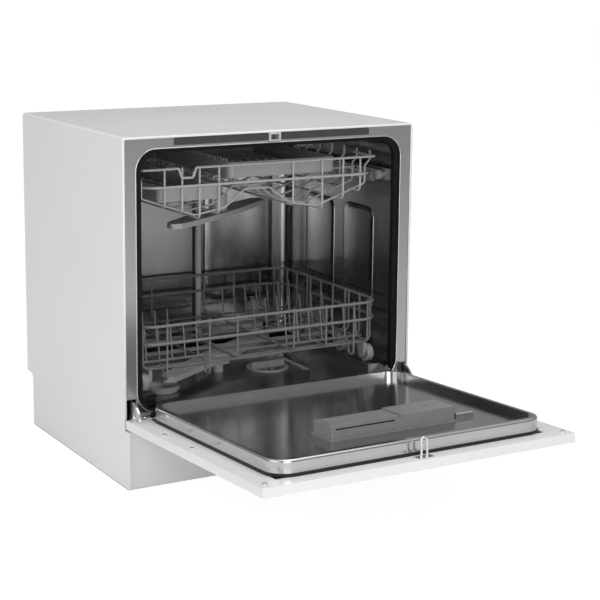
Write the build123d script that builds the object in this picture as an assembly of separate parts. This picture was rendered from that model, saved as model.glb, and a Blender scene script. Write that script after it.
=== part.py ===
from build123d import *
import math
import os

# Countertop dishwasher for eight place settings: a painted cabinet round a stainless tub, a drop-down door,
# two wire racks that pull out, two spray arms and the water works in the base.
# Millimetres. X is right, Y is back, Z is up. The origin is on the floor, in the middle of the width,
# straight under the front edge of the painted sides. The part is drawn with the door open and the racks in.

# ---------------------------------------------------------------- cabinet
WIDTH = 550.0               # over the painted sides
HEIGHT = 575.0              # floor to the top
DEPTH = 440.0               # front edge of the sides to the rear panel
SHEET = 1.0                 # painted sheet
TOP_RADIUS = 6.0            # long edges of the top
RECESS_DEPTH = 28.0         # room for the hoses, low at the rear
RECESS_TOP = 97.0
RECESS_BEND = 12.0          # inner corner of the recess
FLOOR_GAP = 2.0             # painted sheet ends this far above the floor
SLIDE_GAP = 0.3             # between pieces that only lie side by side
PLINTH_SET_BACK = 6.0       # kick plate behind the front of the lower sides
PLINTH_FLANGE = 12.0
SCREW_RADIUS = 1.7
SCREW_HEAD = 3.6
SCREW_RISE = 1.6
HALF = WIDTH / 2
INNER = HALF - SHEET
RECESS_Y = DEPTH - RECESS_DEPTH

# ---------------------------------------------------------------- tub and its front frame
SIDE_BAND = 23.0            # frame beside the mouth, out to the side
TOP_BAND = 20.0             # frame above the mouth, up to the top
BACK_ROOM = 39.0            # from the tub's rear wall to the outside of the rear panel
OPEN_BOTTOM = 121.0         # foot of the tub's mouth
OPEN_RADIUS = 36.0
FRAME_SET_BACK = 1.0        # frame's face behind the edge of the sides
FRAME_SHEET = 1.2
FRAME_SKIRT = 22.0          # frame below the mouth
CORNER_CUT = 27.0           # the frame's lower corners are open for the hinges up to this height over the mouth
TUB_SHEET = 1.0
TRACK_WIDE = 45.0           # wheel tracks: steps pressed into the tub's floor
TRACK_RISE = 23.5
TRACK_FRONT = 24.0
TRACK_SHORT = 15.0          # from the tracks' rear end to the rear wall
SEAL_REACH = 11.0           # how far the door seal stands into the mouth
SEAL_TOP_REACH = 7.0
SEAL_DEPTH = 10.0
OPEN_HALF = HALF - SIDE_BAND
OPEN_TOP = HEIGHT - TOP_BAND
TUB_BACK = DEPTH - BACK_ROOM
TUB_FRONT = FRAME_SET_BACK + FRAME_SHEET
TUB_UNDER = OPEN_BOTTOM - TUB_SHEET
TUB_MID_Z = (OPEN_TOP + OPEN_BOTTOM) / 2
FRAME_FACE = FRAME_SET_BACK
FRAME_FOOT = OPEN_BOTTOM - FRAME_SKIRT
CORNER_CUT_TOP = OPEN_BOTTOM + CORNER_CUT
TRACK_INNER = OPEN_HALF - TRACK_WIDE
TRACK_TOP = OPEN_BOTTOM + TRACK_RISE
TRACK_BACK = TUB_BACK - TRACK_SHORT

# ---------------------------------------------------------------- catch and striker
CATCH_HALF = 11.0
CATCH_LIFT = 2.0            # catch over the mouth's top edge
CATCH_TALL = 14.5
TRIM_HALF = 185.0           # dark strip on the frame's upper band
TRIM_LIFT = 3.5
TRIM_THICK = 0.8
STRIKER_HALF = 5.0
STRIKER_LIFT = 8.0          # striker over the mouth's top edge
STRIKER_LONG = 30.0
STRIKER_WIRE = 3.6
CATCH_ROOM = 4.0            # catch deeper than the striker is long
CATCH_BOTTOM = OPEN_TOP + CATCH_LIFT
CATCH_TOP = CATCH_BOTTOM + CATCH_TALL
CATCH_DEEP = STRIKER_LONG + CATCH_ROOM
TRIM_BOTTOM = OPEN_TOP + TRIM_LIFT
TRIM_TOP = CATCH_TOP
STRIKER_Z = OPEN_TOP + STRIKER_LIFT

# ---------------------------------------------------------------- door, sized as it stands shut
DOOR_THICK = 15.0
DOOR_STANDOFF = 5.0         # inner face of the pan in front of the sides
DOOR_SHORT = 2.0            # door's top edge below the cabinet's top
DOOR_SHEET = 1.0
FASCIA_HEIGHT = 70.0
FASCIA_WALL = 2.5
HINGE_INSET = 1.0           # hinge line in front of the pan's inner face
HINGE_DROP = 6.0            # hinge line and the door's foot below the mouth
OPEN_ANGLE = 87.0           # the open door stops just short of level
OPEN_DOOR_GAP = 3.0         # between the open door and the forward lower sides
LINER_CLEAR = 1.0           # liner inside the seal
LINER_TOP_CLEAR = 2.0
LINER_LIFT = 4.0            # liner's foot over the foot of the mouth
LINER_RISE = 20.0           # rim above the liner's back edge
LINER_FLOOR = 9.0
LINER_SHEET = 1.2
LINER_RADIUS = 34.0
LINER_SEAT = 2.0            # overlap of the liner and the pan's flange
RIM_WIDTH = 10.0
RIM_ROUND = 4.0
CORE_PROUD = 1.0            # the core's edge shows this much round the liner
DOOR_BACK = -DOOR_STANDOFF
DOOR_FRONT = DOOR_BACK - DOOR_THICK
DOOR_TOP = HEIGHT - DOOR_SHORT
HINGE_Y = DOOR_BACK - HINGE_INSET
HINGE_Z = OPEN_BOTTOM - HINGE_DROP
DOOR_BOTTOM = HINGE_Z
FASCIA_BOTTOM = DOOR_TOP - FASCIA_HEIGHT
STEP_TOP = HINGE_Z + DOOR_FRONT - HINGE_Y - OPEN_DOOR_GAP
LINER_HALF = OPEN_HALF - SEAL_REACH - LINER_CLEAR
LINER_BOTTOM = OPEN_BOTTOM + LINER_LIFT
LINER_TOP = OPEN_TOP - SEAL_TOP_REACH - LINER_TOP_CLEAR
LIP = HALF - LINER_HALF + LINER_SEAT

# ---------------------------------------------------------------- hinges
PIN_RADIUS = 4.0
PIN_PLAY = 0.05
ARM_SIDE = 13.0             # inner face of the hinge arm from the outside of the sides
ARM_THICK = 3.0
ARM_REACH = 31.0            # radius of the arm's curved tail
BRACKET_THICK = 2.5
BRACKET_GAP = 3.5           # between bracket and arm
LOBE_RADIUS = 9.0
SPRING_PITCH = 1.9
SPRING_TURNS = 6
SPRING_WIRE = 1.2
SPRING_PLAY = 0.5           # spring round the pin
SPRING_GAP = 0.4            # spring beside the bracket
ARM_X = HALF - ARM_SIDE
BRACKET_X = ARM_X - BRACKET_GAP - BRACKET_THICK
SPRING_MEAN = PIN_RADIUS + SPRING_PLAY + SPRING_WIRE / 2
SPRING_IN = BRACKET_X - SPRING_GAP - SPRING_WIRE / 2 - SPRING_PITCH * SPRING_TURNS

# ---------------------------------------------------------------- detergent dispenser
DISP_LEFT = -92.0
DISP_RIGHT = 132.0
DISP_BELOW = 48.0           # dispenser below the fascia
DISP_TALL = 55.0
DISP_RISE = 28.4            # lid's seat, in front of the liner's back edge
DISP_DEPTH = 14.0           # body behind the liner's back edge
LID_THICK = 2.0
LID_RIGHT = 30.0
HOOD_THICK = 1.6
RIDGE_GAP = 8.0             # steel ridge beside the dispenser
RIDGE_WIDE = 34.0
RIDGE_RISE = 9.0
DISP_TOP = FASCIA_BOTTOM - DISP_BELOW
DISP_BOTTOM = DISP_TOP - DISP_TALL
LID_SEAT = DISP_RISE
RIDGE_X = DISP_RIGHT + RIDGE_GAP

# ---------------------------------------------------------------- controls
BUTTON_X = (-150.0, -110.0, 150.0)
BUTTON_NAMES = ("power_button", "programme_button", "start_button")
BUTTON_DROP = 33.0          # middle of the buttons below the door's top edge
BUTTON_HALF = 9.0
BUTTON_TALL = 9.0
BUTTON_PROUD = 1.5
BUTTON_GAP = 0.3
GRIP_HALF = 60.0
GRIP_TALL = 16.0
GRIP_DEEP = 9.0
DISPLAY_HALF = 26.0
DISPLAY_TALL = 16.0
DISPLAY_PLAY = 0.15
BOARD_HALF = 168.0
BOARD_STAND = 5.5
BOARD_THICK = 1.6
BUTTON_Z = DOOR_TOP - BUTTON_DROP

# ---------------------------------------------------------------- racks, drawn pushed in
RIM_WIRE = 5.0
RACK_WIRE = 3.6
TINE_WIRE = 3.0
WELD = 0.4                  # depth of a weld between two wires
WHEEL_RADIUS = 15.5
WHEEL_WIDE = 12.0
WHEEL_IN = 6.5              # wheel's inner face from the track's inner edge
WHEEL_HEAD = 6.2            # from a wheel's top to the middle of the floor wires
WHEEL_Y = (50.0, 135.0, 273.0)
AXLE_RADIUS = 3.0
AXLE_PLAY = 0.05
ROLL_GAP = 0.3
LOW_SIDE_GAP = 18.0         # lower rack's rim from the tub's wall
LOW_BACK_GAP = 18.0
LOW_FRONT = 30.0
LOW_MID_RISE = 44.0         # middle hoop over the floor wires
LOW_RIM_RISE = 30.0         # rim over the middle hoop
LOW_CORNER = 35.0
LOOP_DROP = 19.0            # front wires dip below the floor wires
LOOP_LONG = 16.0            # clear of the second floor wire
CROSS_BEND = 12.0
TINE_TALL = 56.0
TINE_PITCH = 24.0
TINE_LEAN = 9.0
WHEEL_X = TRACK_INNER + WHEEL_IN
WHEEL_Z = TRACK_TOP + WHEEL_RADIUS + ROLL_GAP
LOW_HALF = OPEN_HALF - LOW_SIDE_GAP
LOW_BACK = TUB_BACK - LOW_BACK_GAP
LOW_FLOOR_Z = WHEEL_Z + WHEEL_RADIUS + WHEEL_HEAD
LOW_MID_Z = LOW_FLOOR_Z + LOW_MID_RISE
LOW_RIM_Z = LOW_MID_Z + LOW_RIM_RISE
LOOP_Z = LOW_FLOOR_Z - LOOP_DROP
LONG_Z = LOW_FLOOR_Z + RACK_WIRE - WELD
LOW_CROSS_Y = (WHEEL_Y[0] - 6, WHEEL_Y[0] + 6, 92.0, WHEEL_Y[1] - 6, WHEEL_Y[1] + 6, 185.0, 228.0,
               WHEEL_Y[2] - 6, WHEEL_Y[2] + 6, LOW_BACK - 65, LOW_BACK - 28)
LOW_LONG_X = ((52.0 - LOW_HALF, True), (-103.0, True), (-50.0, False), (60.0, False), (125.0, False),
              (LOW_HALF - 52, True), (LOW_HALF - 22, False))
TINE_ROW_Y = (66.0, 180.0, LOW_BACK - 79)
TINE_GROUPS = ((29.0 - LOW_HALF, 5), (LOW_HALF - 170, 7))

UP_SIDE_GAP = 35.0          # upper rack's side wires from the tub's wall
UP_BACK_GAP = 26.0
UP_FRONT = 38.0
UP_TOP_GAP = 40.0           # upper rim below the mouth's top
UP_MID_DROP = 30.0          # middle hoop below the rim
UP_WIRE = 4.4
UP_CORNER = 30.0
RAIL_DROP = 4.0             # middle of the runner rails below the middle hoop
RAIL_TALL = 22.0
RAIL_SHEET = 1.5
RAIL_WIDE = 15.6
RAIL_SEAT = 0.1             # rail beside the hoop
ROLLER_IN = 3.6             # roller from the rail's web
ROLLER_WIDE = 10.0
ROLLER_Y = (46.0, 118.0)
ROLLER_AXLE = 3.0
UP_SIDE_DROP = 19.0         # where the side wires turn in, below the middle hoop
UP_LOW_X = 118.0            # lowest line of the floor
UP_LOW_DROP = 53.0
UP_KNEE_X = 62.0
UP_KNEE_RISE = 9.0
UP_RIDGE_X = 24.0
VALLEY_SLOPE = 20.0
UP_HALF = OPEN_HALF - UP_SIDE_GAP
UP_BACK = TUB_BACK - UP_BACK_GAP
UP_RIM_Z = OPEN_TOP - UP_TOP_GAP
UP_MID_Z = UP_RIM_Z - UP_MID_DROP
UP_SIDE_Z = UP_MID_Z - UP_SIDE_DROP
UP_LOW_Z = UP_MID_Z - UP_LOW_DROP
RAIL_Z = UP_MID_Z - RAIL_DROP
RAIL_IN = UP_HALF + UP_WIRE + RACK_WIRE / 2 - WELD + RAIL_SEAT
ROLLER_RADIUS = RAIL_TALL / 2 - RAIL_SHEET - ROLL_GAP
ROLLER_X = RAIL_IN + RAIL_SHEET + ROLLER_IN
UP_CROSS_Y = tuple(UP_FRONT + 22 + 43 * k for k in range(7)) + (UP_BACK - 15,)
UP_LONG_X = (35.0 - UP_HALF, -150.0, -118.0, -82.0, 60.0, 118.0, 160.0, UP_HALF - 22)

# ---------------------------------------------------------------- cutlery trays
TRAY_WALL = 2.0
TRAY_CORNER = 10.0
TRAY_TALL = 26.0
TRAY_FRONT = 52.0
TRAY_BACK_GAP = 25.0        # trays end before the rack does
TRAY_BAR_Y = (UP_CROSS_Y[1], UP_CROSS_Y[5])
TOOTH_PITCH = 11.0
TOOTH_LONG = 12.0
TRAY_BACK = UP_BACK - TRAY_BACK_GAP
LEFT_TRAY = (29.0 - UP_HALF, -72.0)
RIGHT_TRAY = (-58.0, 150.0)

# ---------------------------------------------------------------- spray arms and water works
LOWER_ARM_LIFT = 20.0       # lower arm over the tub's floor
LOWER_POST_RADIUS = 9.95
UPPER_ARM_DROP = 57.0       # upper arm below its feed tube
UPPER_ARM_REACH = 170.0
UPPER_POST_RADIUS = 7.95
ARM_TALL = 9.0
ARM_WALL = 1.8
ARM_PLAY = 0.05
ARM_TURN = 35.0             # how the arms happen to stand
SWING_GAP = 1.0             # lower arm's tip from the wall and the shut door
TRACK_GAP = 12.0            # and from the wheel tracks
NOZZLES = 6
FEED_RADIUS = 9.0
FEED_DROP = 26.0            # feed tube below the upper rack's middle hoop
FEED_SEAT = 0.2
FEED_SHORT = 18.0           # feed tube ends before the tub's rear wall
PIPE_RADIUS = 6.0
PIPE_X = 55.0
SUMP_X = (-60.0, 150.0)
SUMP_Y = (115.0, 265.0)
SUMP_BOTTOM = 62.0
SUMP_WALL = 3.0
FILTER_X = 92.0
FILTER_Y = 185.0
FILTER_RADIUS = 34.0
FILTER_DROP = 6.0           # filter plate below the tub's floor
FILTER_SHEET = 1.2
FILTER_SLOTS = 16
SALT_X = -150.0
SALT_Y = 120.0
SALT_NECK = 26.0
SALT_RADIUS = 48.0
SALT_DROP = 13.0            # container's shoulder below the tub's floor
BASE_WALL = 2.5
BASE_TALL = 46.0
PUMP_PLACE = (-105.0, 240.0, 58.0)
DRAIN_PLACE = (185.0, 250.0, 34.0)
HEATER_PLACE = (-180.0, DEPTH - 150.0, 36.0)
INLET_X = 130.0
DRAIN_X = 50.0
CORD_X = -160.0
SPIGOT_Z = 68.0
SPIGOT_RADIUS = 13.2        # three-quarter inch inlet thread
DRAIN_RADIUS = 10.0
SPIGOT_LENGTH = 22.0
SPIGOT_GAP = 1.2            # from a spigot to its hole, so that a hose can be pushed home
CORD_RADIUS = 4.0
GLAND_WALL = 4.0
FOOT_IN = 60.0              # feet from the sides
FOOT_FRONT = 30.0
FOOT_BACK_IN = 65.0         # rear feet from the rear panel
FOOT_RADIUS = 16.0
FOOT_PAD = 6.0
FOOT_BOSS = 22.0
FOOT_STEM = 4.0
ARM_CENTRE_Y = (TUB_BACK + LINER_FLOOR) / 2
LOWER_ARM_Z = OPEN_BOTTOM + LOWER_ARM_LIFT
LOWER_ARM_REACH = min((TUB_BACK - LINER_FLOOR) / 2 - SWING_GAP, TRACK_INNER - TRACK_GAP)
FEED_Z = UP_MID_Z - FEED_DROP
UPPER_ARM_Z = FEED_Z - UPPER_ARM_DROP
UP_RIDGE_Z = FEED_Z + FEED_RADIUS + RACK_WIRE / 2 + FEED_SEAT
FEED_END = TUB_BACK - FEED_SHORT
FILTER_SEAT = OPEN_BOTTOM - FILTER_DROP
SALT_SHOULDER = OPEN_BOTTOM - SALT_DROP
GLAND_RADIUS = CORD_RADIUS + GLAND_WALL
FOOT_X = HALF - FOOT_IN
FOOT_REAR = DEPTH - FOOT_BACK_IN


# ---------------------------------------------------------------- shapes used again and again
def block(x0, x1, y0, y1, z0, z1):
    """A box between six planes."""
    return Pos((x0 + x1) / 2, (y0 + y1) / 2, (z0 + z1) / 2) * Box(x1 - x0, y1 - y0, z1 - z0)


def soft_block(x0, x1, y0, y1, z0, z1, radius, axis=Axis.Y):
    """A box whose edges along one axis are rounded."""
    shape = block(x0, x1, y0, y1, z0, z1)
    return fillet(shape.edges().filter_by(axis), radius)


def round_top(plate):
    """Rounds an upright plate's top corners to fit inside the top's bends."""
    return fillet(plate.edges().filter_by(Axis.Y).group_by(Axis.Z)[-1], TOP_RADIUS - SHEET)


def post(x, y, z0, z1, radius):
    """An upright cylinder."""
    return Pos(x, y, (z0 + z1) / 2) * Cylinder(radius, z1 - z0)


def cross_pin(x0, x1, y, z, radius):
    """A cylinder from side to side."""
    return Pos((x0 + x1) / 2, y, z) * Rot(0, 90, 0) * Cylinder(radius, x1 - x0)


def through_pin(x, y0, y1, z, radius):
    """A cylinder from front to back."""
    return Pos(x, (y0 + y1) / 2, z) * Rot(90, 0, 0) * Cylinder(radius, y1 - y0)


def rod(points, diameter, bend):
    """A bent wire through the points."""
    path = FilletPolyline(*points, radius=bend) if len(points) > 2 else Line(*points)
    return sweep(Plane(origin=path @ 0, z_dir=path % 0) * Circle(diameter / 2), path=path)


def hoop(half, y0, y1, z, diameter, corner):
    """A closed wire hoop lying level."""
    outline = RectangleRounded(2 * half, y1 - y0, corner).wire()
    path = Pos(0, (y0 + y1) / 2, z) * outline
    return sweep(Plane(origin=path @ 0, z_dir=path % 0) * Circle(diameter / 2), path=path)


def fused(shapes):
    """All the shapes as one."""
    return shapes[0].fuse(*shapes[1:])


def grouped(shapes):
    """Separate solids that share one node."""
    solids = [solid for shape in shapes for solid in shape.solids()]
    return Compound(children=solids)


def mirrored(shape):
    """The same shape on the other side of the middle."""
    return mirror(shape, about=Plane.YZ)


def plate_yz(points, x0, x1):
    """A plate of a given outline, seen from the side."""
    face = Plane.YZ * make_face(Polyline(*points, close=True))
    return Pos(x0, 0, 0) * extrude(face, x1 - x0)


def swing_open(shape):
    """Turns a piece of the shut door about the hinge, to where it lies open."""
    hinge = Axis((0, HINGE_Y, HINGE_Z), (1, 0, 0))
    return shape.rotate(hinge, OPEN_ANGLE)


# ---------------------------------------------------------------- cabinet
def outer_wrap():
    """Painted sides and top, bent from one sheet, with the lower sides standing forward."""
    tall = soft_block(-HALF, HALF, DOOR_FRONT, DEPTH, FLOOR_GAP - 50, HEIGHT, TOP_RADIUS)
    inside = soft_block(-INNER, INNER, DOOR_FRONT - 1, DEPTH + 1, FLOOR_GAP - 60, HEIGHT - SHEET,
                        TOP_RADIUS - SHEET)
    shell = tall - inside
    shell -= block(-HALF - 1, HALF + 1, DOOR_FRONT - 1, DEPTH + 1, FLOOR_GAP - 70, FLOOR_GAP)
    shell -= block(-HALF - 1, HALF + 1, DOOR_FRONT - 1, 0, STEP_TOP, HEIGHT + 1)
    notch = block(-HALF - 1, HALF + 1, RECESS_Y, DEPTH + 1, FLOOR_GAP - 1, RECESS_TOP)
    notch = fillet(notch.edges().filter_by(Axis.X).sort_by(Axis.Z)[-2:].sort_by(Axis.Y)[0], RECESS_BEND)
    return shell - notch


def back_panel():
    """Rear sheet, stepped in at the foot so that the hoses find room."""
    top = HEIGHT - SHEET - SLIDE_GAP
    side = INNER - SLIDE_GAP
    panel = block(-side, side, DEPTH - SHEET, DEPTH, RECESS_TOP, top)
    panel = round_top(panel)
    panel += block(-side, side, RECESS_Y, DEPTH, RECESS_TOP, RECESS_TOP + SHEET)
    panel += block(-side, side, RECESS_Y, RECESS_Y + SHEET, FLOOR_GAP, RECESS_TOP + SHEET)
    for x, radius in ((INLET_X, SPIGOT_RADIUS + SPIGOT_GAP), (DRAIN_X, DRAIN_RADIUS + SPIGOT_GAP),
                      (CORD_X, GLAND_RADIUS + SLIDE_GAP)):
        panel -= through_pin(x, RECESS_Y - 2, RECESS_Y + 4, SPIGOT_Z, radius)
    for x, z in back_screw_places():
        panel -= through_pin(x, DEPTH - 4, DEPTH + 1, z, SCREW_RADIUS)
    return panel


def back_screw_places():
    """Where the rear panel is screwed on."""
    side = INNER - 14
    return [(sign * side, z) for sign in (-1, 1) for z in (RECESS_TOP + 30, TUB_MID_Z, HEIGHT - 30)]


def base_tray():
    """Plastic tray that carries everything and catches leaks."""
    side = INNER - SLIDE_GAP
    front = DOOR_FRONT + 10
    back = RECESS_Y - SLIDE_GAP
    tray = block(-side, side, front, back, 0, BASE_TALL)
    tray -= block(-side + BASE_WALL, side - BASE_WALL, front + BASE_WALL, back - BASE_WALL, BASE_WALL, BASE_TALL + 1)
    for x, y in foot_places():
        tray += post(x, y, 0, FOOT_BOSS, FOOT_RADIUS + 3)
        tray -= post(x, y, -1, FOOT_PAD + SLIDE_GAP, FOOT_RADIUS + SLIDE_GAP)
        tray -= post(x, y, 0, FOOT_BOSS + 1, FOOT_STEM + SLIDE_GAP)
    return tray


def foot_places():
    """The four levelling feet."""
    return [(sx * FOOT_X, y) for sx in (-1, 1) for y in (FOOT_FRONT, FOOT_REAR)]


def feet():
    """Levelling feet, screwed fully in."""
    made = []
    for x, y in foot_places():
        foot = post(x, y, 0, FOOT_PAD, FOOT_RADIUS)
        foot += post(x, y, 0, FOOT_BOSS + 6, FOOT_STEM)
        made.append(foot)
    return grouped(made)


def plinth():
    """Painted kick plate between the forward sides."""
    side = INNER - SLIDE_GAP
    face = DOOR_FRONT + PLINTH_SET_BACK
    plate = block(-side, side, face, face + SHEET, FLOOR_GAP, STEP_TOP)
    plate += block(-side, side, face, face + PLINTH_FLANGE, STEP_TOP - SHEET, STEP_TOP)
    return plate


def front_frame():
    """Stainless frame round the tub's mouth, open at the lower corners for the hinges."""
    side = INNER - SLIDE_GAP
    top = HEIGHT - SHEET - SLIDE_GAP
    narrow = OPEN_HALF + 2.5
    frame = round_top(block(-side, side, FRAME_FACE, TUB_FRONT, CORNER_CUT_TOP, top))
    frame += block(-narrow, narrow, FRAME_FACE, TUB_FRONT, FRAME_FOOT, CORNER_CUT_TOP)
    mouth = soft_block(-OPEN_HALF, OPEN_HALF, FRAME_FACE - 1, TUB_FRONT + 1, OPEN_BOTTOM, OPEN_TOP, OPEN_RADIUS)
    frame -= mouth
    frame -= block(-CATCH_HALF, CATCH_HALF, FRAME_FACE - 1, TUB_FRONT + 1, CATCH_BOTTOM, CATCH_TOP)
    return frame


def trim_strip():
    """Dark strip along the frame's upper band, in two lengths beside the catch."""
    made = []
    for sign in (-1, 1):
        x0, x1 = sorted((sign * (CATCH_HALF + 1), sign * TRIM_HALF))
        made.append(block(x0, x1, FRAME_FACE - TRIM_THICK, FRAME_FACE, TRIM_BOTTOM, TRIM_TOP))
    return grouped(made)


def tub():
    """Stainless tub: a pressed box with a step for the wheels on each side and holes for sump and feed."""
    outer = soft_block(-OPEN_HALF - TUB_SHEET, OPEN_HALF + TUB_SHEET, TUB_FRONT, TUB_BACK + TUB_SHEET,
                       OPEN_BOTTOM - TUB_SHEET, OPEN_TOP + TUB_SHEET, OPEN_RADIUS + TUB_SHEET)
    inner = soft_block(-OPEN_HALF, OPEN_HALF, TUB_FRONT - 1, TUB_BACK, OPEN_BOTTOM, OPEN_TOP, OPEN_RADIUS)
    shell = outer - inner
    for sign in (-1, 1):
        x0, x1 = sorted((sign * TRACK_INNER, sign * (OPEN_HALF + TUB_SHEET)))
        shell += block(x0, x1, TRACK_FRONT, TRACK_BACK, TUB_UNDER, TRACK_TOP)
    for sign in (-1, 1):
        x0, x1 = sorted((sign * (TRACK_INNER + TUB_SHEET), sign * (OPEN_HALF + 2 * TUB_SHEET)))
        shell -= block(x0, x1, TRACK_FRONT + TUB_SHEET, TRACK_BACK - TUB_SHEET, TUB_UNDER - 1, TRACK_TOP - TUB_SHEET)
    shell -= soft_block(SUMP_X[0] + SUMP_WALL, SUMP_X[1] - SUMP_WALL, SUMP_Y[0] + SUMP_WALL,
                        SUMP_Y[1] - SUMP_WALL, TUB_UNDER - 1, OPEN_BOTTOM + 1, 12, Axis.Z)
    shell -= post(SALT_X, SALT_Y, TUB_UNDER - 1, OPEN_BOTTOM + 1, SALT_NECK + SLIDE_GAP)
    return shell


def door_gasket():
    """Rubber seal round the sides and top of the mouth, and a lip seal across its foot."""
    y0 = TUB_FRONT + 2
    y1 = y0 + SEAL_DEPTH
    outer = soft_block(-OPEN_HALF + 0.1, OPEN_HALF - 0.1, y0, y1, OPEN_BOTTOM, OPEN_TOP - 0.1, OPEN_RADIUS - 0.1)
    hole = soft_block(-OPEN_HALF + SEAL_REACH, OPEN_HALF - SEAL_REACH, y0 - 1, y1 + 1, OPEN_BOTTOM - 80,
                      OPEN_TOP - SEAL_TOP_REACH, OPEN_RADIUS - 2)
    ring = outer - hole
    ring -= block(-OPEN_HALF, OPEN_HALF, y0 - 1, y1 + 1, OPEN_BOTTOM - 1, CORNER_CUT_TOP - 10)
    foot = OPEN_HALF - OPEN_RADIUS
    lip = block(-foot, foot, y0, y0 + 12, OPEN_BOTTOM, LINER_BOTTOM - 0.5)
    return grouped([ring, lip])


def latch_catch():
    """Door catch in the frame's upper band: a block with a slot for the striker."""
    body = block(-CATCH_HALF + SLIDE_GAP, CATCH_HALF - SLIDE_GAP, FRAME_FACE - 3, TUB_FRONT + CATCH_DEEP,
                 CATCH_BOTTOM + SLIDE_GAP, CATCH_TOP - SLIDE_GAP)
    slot = STRIKER_HALF + STRIKER_WIRE / 2 + 1
    body -= block(-slot, slot, FRAME_FACE - 5, TUB_FRONT + CATCH_DEEP - 3, STRIKER_Z - 4, STRIKER_Z + 5)
    return body


# ---------------------------------------------------------------- water works
def sump():
    """Plastic well under the tub's floor, with the lower arm's hollow post."""
    well = soft_block(SUMP_X[0], SUMP_X[1], SUMP_Y[0], SUMP_Y[1], SUMP_BOTTOM, TUB_UNDER, 15, Axis.Z)
    well -= soft_block(SUMP_X[0] + SUMP_WALL + 4, SUMP_X[1] - SUMP_WALL - 4, SUMP_Y[0] + SUMP_WALL + 4,
                       SUMP_Y[1] - SUMP_WALL - 4, SUMP_BOTTOM + SUMP_WALL, TUB_UNDER + 1, 10, Axis.Z)
    well -= soft_block(SUMP_X[0] + SUMP_WALL, SUMP_X[1] - SUMP_WALL, SUMP_Y[0] + SUMP_WALL,
                       SUMP_Y[1] - SUMP_WALL, FILTER_SEAT, TUB_UNDER + 1, 12, Axis.Z)
    well += post(0, ARM_CENTRE_Y, SUMP_BOTTOM + 1, LOWER_ARM_Z + 7, LOWER_POST_RADIUS)
    well -= post(0, ARM_CENTRE_Y, SUMP_BOTTOM + 10, LOWER_ARM_Z + 8, LOWER_POST_RADIUS - 2.5)
    return well


def filter_plate():
    """Fine stainless filter over the sump."""
    gap = SUMP_WALL + SLIDE_GAP
    plate = soft_block(SUMP_X[0] + gap, SUMP_X[1] - gap, SUMP_Y[0] + gap, SUMP_Y[1] - gap, FILTER_SEAT,
                       FILTER_SEAT + FILTER_SHEET, 11.5, Axis.Z)
    plate -= post(0, ARM_CENTRE_Y, FILTER_SEAT - 1, FILTER_SEAT + 5, LOWER_POST_RADIUS + SLIDE_GAP)
    plate -= post(FILTER_X, FILTER_Y, FILTER_SEAT - 1, FILTER_SEAT + 5, FILTER_RADIUS + SLIDE_GAP)
    return plate


def coarse_filter():
    """Screw-in filter cup with a grip on top."""
    seat = FILTER_SEAT + FILTER_SHEET
    cup = post(FILTER_X, FILTER_Y, SUMP_BOTTOM + 12, seat, FILTER_RADIUS)
    cup -= post(FILTER_X, FILTER_Y, SUMP_BOTTOM + 14, seat + 1, FILTER_RADIUS - 1.8)
    rim = post(FILTER_X, FILTER_Y, seat, seat + 2.5, FILTER_RADIUS + 4)
    rim -= post(FILTER_X, FILTER_Y, seat - 1, seat + 3, FILTER_RADIUS - 1.8)
    grip = block(FILTER_X - FILTER_RADIUS, FILTER_X + FILTER_RADIUS, FILTER_Y - 2, FILTER_Y + 2, seat, seat + 12)
    for k in range(FILTER_SLOTS):
        slot = block(FILTER_RADIUS - 4, FILTER_RADIUS + 2, -1.5, 1.5, SUMP_BOTTOM + 20, seat - 8)
        cup -= Pos(FILTER_X, FILTER_Y, 0) * Rot(0, 0, 360 / FILTER_SLOTS * (k + 0.5)) * slot
    return cup + rim + grip


def spray_arm(reach, z0, bore, hub_radius, hub_z0, hub_z1, bore_z0, bore_z1, nozzle_side):
    """A hollow two-bladed arm on its hub, with a row of jets."""
    half = 24.0
    tip = 15.0
    outline = [(-reach + 12, -tip), (-40, -half), (40, -half), (reach - 12, -tip), (reach, 0),
               (reach - 12, tip), (40, half), (-40, half), (-reach + 12, tip), (-reach, 0)]
    face = make_face(Polyline(*outline, close=True))
    blade = extrude(face, ARM_TALL)
    blade = fillet(blade.edges().filter_by(Axis.Z), 6)
    hollow = Pos(0, 0, ARM_WALL) * extrude(offset(face, -ARM_WALL - 3), ARM_TALL - 2 * ARM_WALL)
    blade -= hollow
    blade = Pos(0, 0, z0) * blade
    for k in range(NOZZLES):
        x = reach * (0.3 + 0.62 * k / (NOZZLES - 1))
        for sign in (-1, 1):
            blade -= post(sign * x, sign * 4, z0 + nozzle_side * ARM_TALL / 2, z0 + ARM_TALL / 2
                          + nozzle_side * ARM_TALL, 1.8) if nozzle_side > 0 else \
                post(sign * x, sign * 4, z0 - 1, z0 + ARM_TALL / 2, 1.8)
    arm = blade + post(0, 0, hub_z0, hub_z1, hub_radius)
    arm -= post(0, 0, bore_z0, bore_z1, bore)
    return Pos(0, ARM_CENTRE_Y, 0) * Rot(0, 0, ARM_TURN) * arm


def lower_spray_arm():
    """Arm under the lower rack, turning on the sump's post."""
    z = LOWER_ARM_Z
    return spray_arm(LOWER_ARM_REACH, z, LOWER_POST_RADIUS + ARM_PLAY, 22, z - 8, z + 11, z - 9, z + 8, 1)


def upper_spray_arm():
    """Arm under the upper rack, turning on the feed tube's post."""
    z = UPPER_ARM_Z
    return spray_arm(UPPER_ARM_REACH, z, UPPER_POST_RADIUS + ARM_PLAY, 16, z - 2, z + 39, z + 1, z + 40, -1)


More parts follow.
